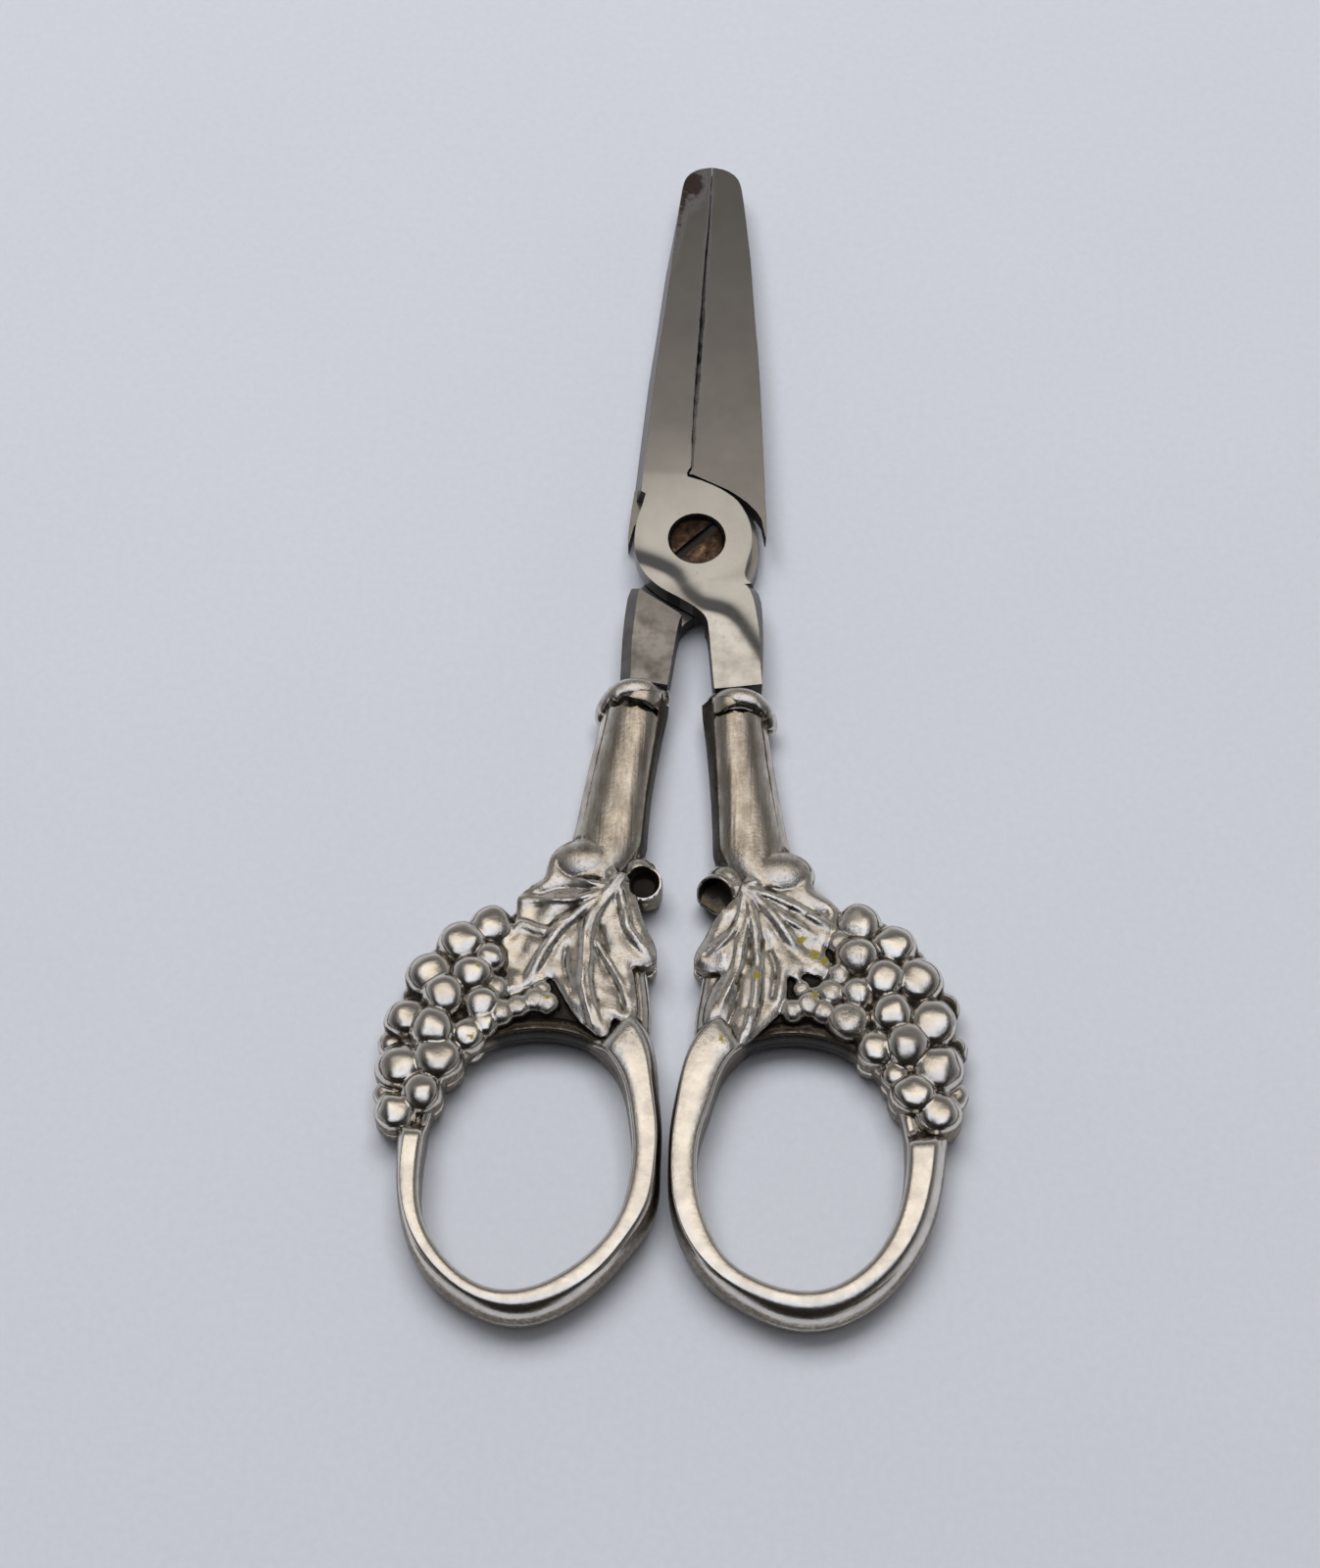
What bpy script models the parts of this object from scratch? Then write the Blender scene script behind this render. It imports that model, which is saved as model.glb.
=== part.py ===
"""Grape shears: two pivoted steel halves in cast vine and grape handles.

Metres, +Z up. The tool lies closed on its side on the ground plane, tip towards +Y,
with its origin under the middle of its length. The front half carries the left blade
and the right hand bow, the back half the right blade and the left hand bow.
Each piece is modelled about the pivot screw and then set down at the tool's place.
"""

import math

import bmesh
import bpy
from mathutils import Matrix, Vector

MM = 0.001

# Clearances
SEAM_GAP = 0.30 * MM           # between faces that touch on the real tool
SOLDER_GAP = 0.30 * MM         # between the front and the back half of a handle
SHAFT_GAP = 0.15 * MM          # round the pivot screw
OVERRUN = 6.0 * MM             # how far a cutter stands past what it cuts
WELD = 0.002 * MM              # points nearer than this are one

# Steel halves
BLADE_REACH = 56.0 * MM        # pivot to blade tip
BLADE_HALF_WIDTH = 8.3 * MM    # centre line to the back of the blade at the pivot
BLADE_THICK = 5.2 * MM         # at the pivot and along the shank
TIP_THICK = 3.6 * MM
TAPER_START = 11.4 * MM        # where the blades begin to thin
SIDE_SLOPE = 1.25 * MM         # lean of the blade's back
SEAM_SHIFT = 0.40 * MM         # how far each lip passes the centre line
DISC_RADIUS = 7.5 * MM
SHANK_REACH = 20.1 * MM        # pivot to the end of the shank
SHANK_WIDTH = 5.7 * MM
SHANK_CHAMFER = 1.1 * MM
SHANK_SPREAD = 5.6 * MM        # centre line of the tool to the shank's end
HANDLE_SPLAY = math.radians(7.0)
TANG_LENGTH = 17.0 * MM
TANG_WIDTH = 3.2 * MM
TANG_THICK = 2.2 * MM
TANG_TIP_SHARE = 0.62

# Pivot screw
SCREW_SHAFT_RADIUS = 1.8 * MM
SCREW_HEAD_RADIUS = 3.35 * MM
SCREW_HEAD_THICK = 1.10 * MM
SCREW_RECESS = 0.55 * MM       # head below the disc's face
SLOT_WIDTH = 0.85 * MM
SLOT_DEPTH = 0.55 * MM
SLOT_TURN = math.radians(45.0)
ROUND_SIDES = 32

# Handle stems and collars
GRIP_THICK = 6.2 * MM          # over the ground faces of a bow
COLLAR_WIDTH = 8.6 * MM
COLLAR_LENGTH = 2.2 * MM
COLLAR_ROUNDING = 0.8 * MM
STEM_START = 3.2 * MM          # from the shank's end to the stem's mouth
STEM_WIDTH = 7.5 * MM          # at the mouth
STEM_END_WIDTH = 9.0 * MM
STEM_THICK = 5.9 * MM
STEM_WALL = 0.8 * MM
STEM_PLUG = 6.7 * MM           # solid metal between the hollow and the leaf's veins

# Finger bows
BOW_WIDTH = 30.5 * MM
BOW_LENGTH = 37.4 * MM
HOLE_WIDTH = 23.4 * MM
HOLE_LENGTH = 30.4 * MM
BOW_CLEAR = 0.50 * MM          # centre line of the tool to a closed bow
BOW_REACH = 80.1 * MM          # pivot to the middle of a bow
HOLE_SHIFT = 0.55 * MM         # the bow's band is thicker on its outer side
BOW_BEVEL = 1.8 * MM
BOW_POINTS = 40

# Vine leaf
LEAF_LENGTH = 24.5 * MM
LEAF_INSET = 1.1 * MM          # where the veins meet, inward of the stem's axis
LEAF_RISE = 13.6 * MM          # top of the bow's oval up to where the veins meet
LEAF_HEIGHT = 2.45 * MM        # above the parting plane
VEIN_RADIUS = 0.42 * MM
HOOK_RADIUS = 1.9 * MM
HOOK_BORE = 1.25 * MM
HOOK_DEPTH = 2.2 * MM
HOOK_RISE = 0.6 * MM           # parting plane to the middle of the hook
HOOK_LENGTH = 1.6 * MM         # from there to the mouth of the hollow stalk

# Grapes
CLUSTER_LENGTH = 23.2 * MM     # first to last grape, along the tool
CLUSTER_OFFSET = 5.2 * MM      # middle of the bow outwards to the first grape
CLUSTER_RISE = 10.3 * MM       # top of the bow's oval up to the first grape
GRAPE_RADIUS = 2.3 * MM
GRAPE_SINK = 0.10 * MM         # tops of the grapes below the bows' ground faces
WEB_HEIGHT = 1.3 * MM          # ground between the grapes, above the parting plane

# Back of the blade from the tip down: shares of BLADE_HALF_WIDTH and BLADE_REACH
BLADE_EDGE_SHARES = (
    (0.12, 1.0), (0.325, 0.981), (0.445, 0.95), (0.525, 0.883), (0.595, 0.811),
    (0.66, 0.729), (0.745, 0.579), (0.83, 0.443), (0.935, 0.212), (0.975, 0.115))
NOTCH_SHARES = (0.765, 0.104)
# From the notch round the disc and into the shank: shares of DISC_RADIUS
DISC_LEFT_SHARES = (
    (-0.93, 0.457), (-1.0, 0.137), (-1.01, -0.103), (-0.97, -0.353), (-0.89, -0.563),
    (-0.78, -0.753), (-0.53, -0.953), (-0.22, -1.133), (0.01, -1.283), (0.185, -1.453))
# From the shank's outer side up round the disc to the seam: shares of DISC_RADIUS
DISC_RIGHT_SHARES = (
    (1.087, -0.92), (0.933, -0.706), (0.82, -0.513), (0.872, -0.328), (0.916, 0.067),
    (0.863, 0.314), (0.775, 0.537), (0.64, 0.74), (0.44, 0.88), (0.067, 1.087))
SEAM_FOOT_SHARE = 1.147
# Recess that takes the other half's disc: shares of DISC_RADIUS
RECESS_SHARES = (
    (-0.47, 0.934), (-0.637, 0.82), (-0.803, 0.691), (-0.953, 0.526), (-1.03, 0.395),
    (-1.075, 0.207), (-1.1, 0.067), (-2.0, -0.013), (-2.0, -1.613), (0.053, -1.613),
    (0.232, -1.397), (0.939, -0.945), (2.0, -0.263), (2.0, 1.2))
RECESS_TOP_SHARE = 1.20
# Spur beside the other half's disc: shares of BLADE_HALF_WIDTH
SPUR_SHARES = (
    (-0.96, 0.969), (-0.985, 0.669), (-1.0, 0.409), (-1.02, 0.009), (-0.9, 0.029),
    (-0.7, 0.369), (-0.7, 1.069))

# Leaf outline about the meeting of its veins: shares of LEAF_LENGTH
LEAF_SHARES = (
    (-0.02, 0.08), (0.01, 0.16), (0.05, 0.23), (0.11, 0.27), (0.18, 0.26), (0.24, 0.22),
    (0.29, 0.17), (0.31, 0.07), (0.34, 0.04), (0.4, 0.0), (0.43, -0.05), (0.43, -0.1),
    (0.47, -0.2), (0.44, -0.27), (0.45, -0.31), (0.42, -0.42), (0.41, -0.47),
    (0.37, -0.46), (0.3, -0.42), (0.24, -0.45), (0.2, -0.52), (0.16, -0.6),
    (0.11, -0.66), (-0.01, -0.73), (-0.05, -0.65), (-0.12, -0.65), (-0.17, -0.64),
    (-0.17, -0.58), (-0.16, -0.5), (-0.12, -0.38), (-0.19, -0.38), (-0.23, -0.35),
    (-0.23, -0.29), (-0.2, -0.22), (-0.16, -0.15), (-0.1, -0.09), (-0.05, -0.05))
# Far end of each vein, about the meeting of the veins: shares of LEAF_LENGTH
VEIN_SHARES = ((0.02, -0.68), (0.34, -0.38), (0.36, -0.10), (-0.17, -0.30), (0.15, 0.19))
# Middle of the hook: shares of LEAF_LENGTH
HOOK_SHARES = (-0.165, 0.03)
# Way that the hook's mouth faces: shares of its length across, along and up
HOOK_WAY_SHARES = (-0.55, -0.60, 0.58)

# Grapes, x and y about the first in shares of CLUSTER_LENGTH, radius of GRAPE_RADIUS
GRAPE_SHARES = (
    (0.0, 0.0, 0.95), (0.15, -0.11, 1.05), (-0.02, -0.17, 0.95), (0.28, -0.28, 1.07),
    (0.10, -0.29, 0.95), (0.0, -0.39, 0.85), (0.17, -0.44, 1.0), (0.36, -0.51, 1.1),
    (-0.09, -0.52, 0.9), (0.24, -0.61, 1.05), (0.07, -0.63, 0.9), (0.39, -0.75, 1.1),
    (0.20, -0.78, 0.9), (0.27, -0.93, 1.0), (0.40, -1.0, 0.95), (-0.18, -0.39, 0.8),
    (-0.31, -0.43, 0.8))
# How far each ingredient of a handle half reaches past the parting plane before it is
# cut there: shares of BOW_BEVEL, all unlike, so that no two of their undersides coincide
BOW_FOOT_SHARE, WEB_FOOT_SHARE, LEAF_FOOT_SHARE, HOOK_FOOT_SHARE = 1.3, 1.5, 1.7, 1.9
# Ground between leaf, grapes and bow: shares of CLUSTER_LENGTH about the first grape
WEB_SHARES = (
    (-0.35, 0.02), (0.02, 0.05), (0.18, -0.08), (0.32, -0.26), (0.40, -0.50),
    (0.43, -0.75), (0.44, -1.02), (0.30, -1.04), (0.20, -0.86), (0.02, -0.70),
    (-0.20, -0.62), (-0.45, -0.60), (-0.60, -0.45))
# Line across the tool above which the bow is sunk below leaf and grapes: its ends,
# shares of CLUSTER_LENGTH about the first grape
SHELF_SHARES = ((-1.1, -0.63), (0.6, -1.16))
GRAPE_SEGMENTS = 9
GRAPE_RINGS = 6
GRAPE_TILT = math.radians(20.0)
GRAPE_TURN = math.radians(137.0)  # from one grape to the next, so that none match

# Places worked out from the sizes above
LAYER_TOP = BLADE_THICK / 2
PARTING = SOLDER_GAP / 2
BOW_TOP = GRIP_THICK / 2
BOW_END = BOW_REACH + BOW_LENGTH / 2
BOW_SPREAD = BOW_CLEAR + BOW_WIDTH / 2
BOW_START = BOW_REACH - BOW_LENGTH / 2
LEAF_DROP = BOW_START - LEAF_RISE
STEM_END = LEAF_DROP - SHANK_REACH
CAVITY_END = STEM_END - STEM_PLUG
LEAF_SPREAD = SHANK_SPREAD + STEM_END * math.tan(HANDLE_SPLAY) - LEAF_INSET
CLUSTER_SPREAD = BOW_SPREAD + CLUSTER_OFFSET
CLUSTER_DROP = BOW_START - CLUSTER_RISE
PIVOT = Vector((0.0, (BOW_END - BLADE_REACH) / 2, GRIP_THICK / 2))

PARTS = "grape_shears"
CLOSE_SOLVER = "MANIFOLD"      # where pieces cross too closely for EXACT
STEEL = ("steel", (0.46, 0.43, 0.40), 0.34)
SCREW_STEEL = ("bronzed_steel", (0.20, 0.15, 0.10), 0.42)
SILVER = ("silver_plate", (0.66, 0.62, 0.54), 0.22)
CEMENT = ("cement", (0.30, 0.22, 0.15), 0.85)


def clear_scene():
    """Remove every object, so that the part starts in an empty scene."""
    for item in list(bpy.data.objects):
        bpy.data.objects.remove(item, do_unlink=True)
    collection = bpy.data.collections.new(PARTS)
    bpy.context.scene.collection.children.link(collection)
    return collection


def finish_material(finish, metallic=1.0):
    """Principled material of one finish, made once."""
    name, colour, roughness = finish
    if name in bpy.data.materials:
        return bpy.data.materials[name]
    material = bpy.data.materials.new(name)
    material.use_nodes = True
    shader = material.node_tree.nodes["Principled BSDF"]
    shader.inputs["Base Color"].default_value = (*colour, 1.0)
    shader.inputs["Metallic"].default_value = metallic
    shader.inputs["Roughness"].default_value = roughness
    return material


def new_object(name, mesh):
    """Object of a mesh, in the scene's own collection."""
    item = bpy.data.objects.new(name, mesh)
    bpy.context.scene.collection.objects.link(item)
    return item


def curve_to_mesh(curve_object):
    """Closed mesh object of a curve object, which is then removed."""
    depsgraph = bpy.context.evaluated_depsgraph_get()
    mesh = bpy.data.meshes.new_from_object(curve_object.evaluated_get(depsgraph))
    solid = bmesh.new()
    solid.from_mesh(mesh)
    bmesh.ops.remove_doubles(solid, verts=solid.verts, dist=WELD)
    bmesh.ops.recalc_face_normals(solid, faces=solid.faces)
    solid.to_mesh(mesh)
    solid.free()
    name = curve_object.name
    place = curve_object.matrix_world.copy()
    bpy.data.objects.remove(curve_object, do_unlink=True)
    item = new_object(name, mesh)
    item.matrix_world = place
    bake_place(item)
    return item


def bake_place(item):
    """Put an object's place into its mesh."""
    item.data.transform(item.matrix_world)
    item.matrix_world = Matrix.Identity(4)


def slab(name, outlines, bottom, top):
    """Flat piece with the given outlines, from height bottom to height top."""
    curve = bpy.data.curves.new(name, "CURVE")
    curve.dimensions = "2D"
    curve.fill_mode = "BOTH"
    curve.extrude = (top - bottom) / 2
    for outline in outlines:
        spline = curve.splines.new("POLY")
        spline.points.add(len(outline) - 1)
        for point, (x, y) in zip(spline.points, outline):
            point.co = (x, y, 0.0, 1.0)
        spline.use_cyclic_u = True
    item = new_object(name, curve)
    item.location.z = (top + bottom) / 2
    bpy.context.view_layer.update()
    return curve_to_mesh(item)


def rod(name, points, radius):
    """Round bar along points, with closed ends."""
    curve = bpy.data.curves.new(name, "CURVE")
    curve.dimensions = "3D"
    curve.bevel_depth = radius
    curve.bevel_resolution = 1
    curve.use_fill_caps = True
    spline = curve.splines.new("POLY")
    spline.points.add(len(points) - 1)
    for point, place in zip(spline.points, points):
        point.co = (*place, 1.0)
    item = new_object(name, curve)
    bpy.context.view_layer.update()
    return curve_to_mesh(item)


def weld_mesh(mesh):
    """Close hairline cracks and split faces that aren't flat, ready for a Boolean."""
    solid = bmesh.new()
    solid.from_mesh(mesh)
    bmesh.ops.remove_doubles(solid, verts=solid.verts, dist=WELD)
    bmesh.ops.dissolve_degenerate(solid, edges=solid.edges, dist=WELD)
    bmesh.ops.holes_fill(solid, edges=[e for e in solid.edges if e.is_boundary], sides=4)
    bmesh.ops.connect_verts_nonplanar(
        solid, angle_limit=math.radians(0.01), faces=solid.faces)
    solid.to_mesh(mesh)
    solid.free()


def combine(target, tool, operation, solver):
    """Boolean of target with tool, baked, and the tool removed."""
    weld_mesh(target.data)
    weld_mesh(tool.data)
    modifier = target.modifiers.new(operation.lower(), "BOOLEAN")
    modifier.operation = operation
    modifier.solver = solver
    modifier.object = tool
    bpy.context.view_layer.update()
    depsgraph = bpy.context.evaluated_depsgraph_get()
    mesh = bpy.data.meshes.new_from_object(target.evaluated_get(depsgraph))
    target.modifiers.clear()
    weld_mesh(mesh)
    target.data = mesh
    bpy.data.objects.remove(tool, do_unlink=True)


def add(target, *tools, solver="EXACT"):
    for tool in tools:
        combine(target, tool, "UNION", solver)


def cut(target, *tools, solver="EXACT"):
    for tool in tools:
        combine(target, tool, "DIFFERENCE", solver)


def scaled(shares, width, length, origin=(0.0, 0.0)):
    """Points of a table of shares, in metres, about an origin."""
    return [(origin[0] + x * width, origin[1] + y * length) for x, y in shares]


def oval(width, length, centre, count):
    """Points round an oval, counter-clockwise."""
    points = []
    for step in range(count):
        angle = 2 * math.pi * step / count
        x = centre[0] + width / 2 * math.cos(angle)
        y = centre[1] + length / 2 * math.sin(angle)
        points.append((x, y))
    return points


def along_handle(distance, height=0.0):
    """Place on the right handle's axis, measured from the end of the shank."""
    x = SHANK_SPREAD + distance * math.sin(HANDLE_SPLAY)
    y = -SHANK_REACH - distance * math.cos(HANDLE_SPLAY)
    return Vector((x, y, height))


def handle_matrix(distance):
    """Frame on the handle's axis: local X across, Y up towards the eye, Z down the stem."""
    down = Vector((math.sin(HANDLE_SPLAY), -math.cos(HANDLE_SPLAY), 0.0))
    up = Vector((0.0, 0.0, 1.0))
    across = up.cross(down)
    turn = Matrix((across, up, down)).transposed().to_4x4()
    return Matrix.Translation(along_handle(distance)) @ turn


def stem_bar(name, start, end, start_size, end_size, sides):
    """Tapered bar on the handle's axis: an oval with many sides or a box with four."""
    solid = bmesh.new()
    length = end - start
    if sides == 4:
        bmesh.ops.create_cube(solid, size=1.0)
    else:
        bmesh.ops.create_cone(
            solid, cap_ends=True, segments=sides, radius1=0.5, radius2=0.5, depth=1.0)
    for vert in solid.verts:
        width, thick = start_size if vert.co.z < 0 else end_size
        vert.co.x *= width
        vert.co.y *= thick
        vert.co.z = (vert.co.z + 0.5) * length
    solid.transform(handle_matrix(start))
    mesh = bpy.data.meshes.new(name)
    solid.to_mesh(mesh)
    solid.free()
    return new_object(name, mesh)


def post(name, centre, radius, bottom, top, sides=ROUND_SIDES, way=(0.0, 0.0, 1.0)):
    """Round post that runs from bottom to top along a way through its centre."""
    solid = bmesh.new()
    bmesh.ops.create_cone(
        solid, cap_ends=True, segments=sides, radius1=radius, radius2=radius,
        depth=top - bottom)
    turn = Vector(way).to_track_quat("Z", "Y").to_matrix().to_4x4()
    raised = Matrix.Translation((0.0, 0.0, (top + bottom) / 2))
    solid.transform(Matrix.Translation(centre) @ turn @ raised)
    mesh = bpy.data.meshes.new(name)
    solid.to_mesh(mesh)
    solid.free()
    return new_object(name, mesh)


def box(name, low, high):
    """Box between two corners."""
    solid = bmesh.new()
    bmesh.ops.create_cube(solid, size=1.0)
    for vert in solid.verts:
        for axis in range(3):
            vert.co[axis] = high[axis] if vert.co[axis] > 0 else low[axis]
    mesh = bpy.data.meshes.new(name)
    solid.to_mesh(mesh)
    solid.free()
    return new_object(name, mesh)


def bevel_edges(item, chosen, width, segments):
    """Bevel the edges for which chosen(one end, other end) is true."""
    solid = bmesh.new()
    solid.from_mesh(item.data)
    edges = [edge for edge in solid.edges if chosen(edge.verts[0].co, edge.verts[1].co)]
    bmesh.ops.bevel(
        solid, geom=edges, offset=width, segments=segments, profile=0.5,
        affect="EDGES", clamp_overlap=True)
    solid.to_mesh(item.data)
    solid.free()


def taper_blade(item):
    """Thin a blade's piece evenly from TAPER_START to the tip."""
    solid = bmesh.new()
    solid.from_mesh(item.data)
    bmesh.ops.bisect_plane(
        solid, geom=solid.verts[:] + solid.edges[:] + solid.faces[:],
        plane_co=(0.0, TAPER_START, 0.0), plane_no=(0.0, 1.0, 0.0))
    slope = (1.0 - TIP_THICK / BLADE_THICK) / (BLADE_REACH - TAPER_START)
    for vert in solid.verts:
        if vert.co.y > TAPER_START and abs(vert.co.z) > LAYER_TOP / 2:
            vert.co.z *= 1.0 - slope * (vert.co.y - TAPER_START)
    solid.to_mesh(item.data)
    solid.free()


def half_outline():
    """Outline of the front half: blade, disc and shank, from the tip down its left side."""
    inner = handle_matrix(0.0) @ Vector((-SHANK_WIDTH / 2, 0.0, 0.0))
    outer = handle_matrix(0.0) @ Vector((SHANK_WIDTH / 2, 0.0, 0.0))
    if inner.x > outer.x:
        inner, outer = outer, inner
    seam = -SEAM_SHIFT - SEAM_GAP / 2
    points = [(seam, BLADE_REACH)]
    points += scaled(BLADE_EDGE_SHARES, -BLADE_HALF_WIDTH, BLADE_REACH)
    points += scaled([NOTCH_SHARES], -BLADE_HALF_WIDTH, BLADE_REACH)
    points += scaled(DISC_LEFT_SHARES, DISC_RADIUS, DISC_RADIUS)
    points += [(inner.x, inner.y), (outer.x, outer.y)]
    points += scaled(DISC_RIGHT_SHARES, DISC_RADIUS, DISC_RADIUS)
    points += [(seam, SEAM_FOOT_SHARE * DISC_RADIUS)]
    return points


def lean_back(item):
    """Lean the blade's back: its upper edge lies further in than its lower edge."""
    foot = BLADE_EDGE_SHARES[-1][1] * BLADE_REACH
    for vert in item.data.vertices:
        on_back = vert.co.x < -2 * SEAM_SHIFT and vert.co.y > foot - SEAM_GAP
        if vert.co.z > 0 and on_back:
            share = min(1.0, abs(vert.co.x) / (BLADE_HALF_WIDTH / 2))
            vert.co.x += SIDE_SLOPE * share


def steel_half(name, bore_radius, counterbore):
    """One steel half as the front one lies, with its hole for the pivot screw."""
    lap = SEAM_GAP / 2
    hidden = SEAM_GAP / 3
    body = slab(name, [half_outline()], -LAYER_TOP, LAYER_TOP)
    shank_top = DISC_RIGHT_SHARES[1][1] * DISC_RADIUS

    def on_shank(one, other):
        level = abs(one.z - other.z) < hidden
        outside = min(one.x, other.x) > SHANK_SPREAD
        below = max(one.y, other.y) < shank_top + hidden
        return level and outside and below and abs(one.y - other.y) > SHANK_CHAMFER

    bevel_edges(body, on_shank, SHANK_CHAMFER, 1)
    lean_back(body)
    taper_blade(body)

    lip_edge = SEAM_SHIFT - SEAM_GAP / 2
    inset = BLADE_HALF_WIDTH / 4
    lip = slab("lip", [[
        (-inset, SEAM_FOOT_SHARE * DISC_RADIUS), (lip_edge, SEAM_FOOT_SHARE * DISC_RADIUS),
        (lip_edge, BLADE_REACH - hidden), (-inset, BLADE_REACH - 2 * hidden)]],
        -LAYER_TOP + hidden, -lap)
    taper_blade(lip)
    spur = slab("spur", [scaled(SPUR_SHARES, BLADE_HALF_WIDTH, BLADE_HALF_WIDTH)],
                -LAYER_TOP + hidden, -lap)
    add(body, lip, spur, solver=CLOSE_SOLVER)

    recess = [(lip_edge + SEAM_GAP, RECESS_TOP_SHARE * DISC_RADIUS)]
    recess += scaled(RECESS_SHARES, DISC_RADIUS, DISC_RADIUS)
    cut(body, slab("recess", [recess], -LAYER_TOP - OVERRUN, lap), solver=CLOSE_SOLVER)

    tang_tip = (TANG_WIDTH * TANG_TIP_SHARE, TANG_THICK * TANG_TIP_SHARE)
    add(body, stem_bar("tang", -SHANK_CHAMFER, TANG_LENGTH, (TANG_WIDTH, TANG_THICK),
                       tang_tip, 4), solver=CLOSE_SOLVER)
    cut(body, post("bore", (0.0, 0.0, 0.0), bore_radius, -OVERRUN, OVERRUN),
        solver=CLOSE_SOLVER)
    if counterbore:
        floor = LAYER_TOP - SCREW_RECESS - SCREW_HEAD_THICK - SHAFT_GAP
        head_space = SCREW_HEAD_RADIUS + SHAFT_GAP
        cut(body, post("counterbore", (0.0, 0.0, 0.0), head_space, floor, OVERRUN),
            solver=CLOSE_SOLVER)
    return body


def pivot_screw():
    """Slotted screw, turned in one piece with its head."""
    head_top = LAYER_TOP - SCREW_RECESS
    head_foot = head_top - SCREW_HEAD_THICK
    edge = SCREW_HEAD_THICK / 4
    profile = (
        (SLOT_WIDTH / 4, head_top), (SCREW_HEAD_RADIUS - edge, head_top),
        (SCREW_HEAD_RADIUS, head_top - edge), (SCREW_HEAD_RADIUS, head_foot),
        (SCREW_SHAFT_RADIUS, head_foot), (SCREW_SHAFT_RADIUS, edge - LAYER_TOP),
        (SCREW_SHAFT_RADIUS - edge, -LAYER_TOP), (SLOT_WIDTH / 4, -LAYER_TOP))
    solid = bmesh.new()
    rings = []
    for radius, height in profile:
        rings.append(solid.verts.new((radius, 0.0, height)))
    for one, other in zip(rings, rings[1:]):
        solid.edges.new((one, other))
    bmesh.ops.spin(
        solid, geom=solid.verts[:] + solid.edges[:], cent=(0.0, 0.0, 0.0),
        axis=(0.0, 0.0, 1.0), angle=2 * math.pi, steps=ROUND_SIDES, use_merge=True)
    bmesh.ops.holes_fill(solid, edges=[e for e in solid.edges if e.is_boundary], sides=0)
    bmesh.ops.recalc_face_normals(solid, faces=solid.faces)
    mesh = bpy.data.meshes.new("pivot_screw")
    solid.to_mesh(mesh)
    solid.free()
    screw = new_object("pivot_screw", mesh)
    half = SLOT_WIDTH / 2
    slot = box("slot", (-OVERRUN, -half, head_top - SLOT_DEPTH), (OVERRUN, half, OVERRUN))
    slot.data.transform(Matrix.Rotation(SLOT_TURN, 4, "Z"))
    cut(screw, slot)
    return screw


def right_collar():
    """Beaded collar between the shank and the handle's stem."""
    bead = stem_bar(
        "right_collar", SEAM_GAP, SEAM_GAP + COLLAR_LENGTH,
        (COLLAR_WIDTH, GRIP_THICK), (COLLAR_WIDTH, GRIP_THICK), ROUND_SIDES)
    solid = bmesh.new()
    solid.from_mesh(bead.data)
    rims = [e for e in solid.edges if len(e.link_faces) == 2
            and max(len(face.verts) for face in e.link_faces) > 4]
    bmesh.ops.bevel(solid, geom=rims, offset=COLLAR_ROUNDING, segments=2, profile=0.5,
                    affect="EDGES")
    solid.to_mesh(bead.data)
    solid.free()
    clear = 2 * SEAM_GAP
    size = (TANG_WIDTH + clear, TANG_THICK + clear)
    cut(bead, stem_bar("collar_hole", -OVERRUN, COLLAR_LENGTH + OVERRUN, size, size, 4))
    return bead


def stem_size(distance, inset):
    """Width and thickness of the stem at a distance, less an inset on every side."""
    share = (distance - STEM_START) / (STEM_END - STEM_START)
    width = STEM_WIDTH + (STEM_END_WIDTH - STEM_WIDTH) * share
    return width - 2 * inset, STEM_THICK - 2 * inset


def right_filler():
    """Cement that holds the tang in the hollow stem."""
    start = STEM_START + SEAM_GAP
    end = CAVITY_END - SEAM_GAP
    inset = STEM_WALL + SEAM_GAP
    filler = stem_bar("right_handle_filler", start, end, stem_size(start, inset),
                      stem_size(end, inset), ROUND_SIDES // 2)
    clear = 2 * SEAM_GAP
    mouth = (TANG_WIDTH + clear, TANG_THICK + clear)
    tip = (TANG_WIDTH * TANG_TIP_SHARE + clear, TANG_THICK * TANG_TIP_SHARE + clear)
    cut(filler, stem_bar("pocket", -SHANK_CHAMFER, TANG_LENGTH + SEAM_GAP, mouth, tip, 4))
    return filler


def bow_solid():
    """Flat-faced finger bow, rounded on its outer side."""
    centre = (BOW_SPREAD, -BOW_REACH)
    hole_centre = (BOW_SPREAD - HOLE_SHIFT, -BOW_REACH)
    outer = oval(BOW_WIDTH, BOW_LENGTH, centre, BOW_POINTS)
    inner = oval(HOLE_WIDTH, HOLE_LENGTH, hole_centre, BOW_POINTS)
    bow = slab("bow", [outer, inner], -BOW_FOOT_SHARE * BOW_BEVEL, BOW_TOP)

    def on_outer_rim(one, other):
        places = [(p.x - centre[0]) ** 2 / (BOW_WIDTH / 2) ** 2
                  + (p.y - centre[1]) ** 2 / (BOW_LENGTH / 2) ** 2 for p in (one, other)]
        return min(places) > 0.98 and min(one.z, other.z) > BOW_TOP - SEAM_GAP

    bevel_edges(bow, on_outer_rim, BOW_BEVEL, 2)
    return bow


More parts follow.
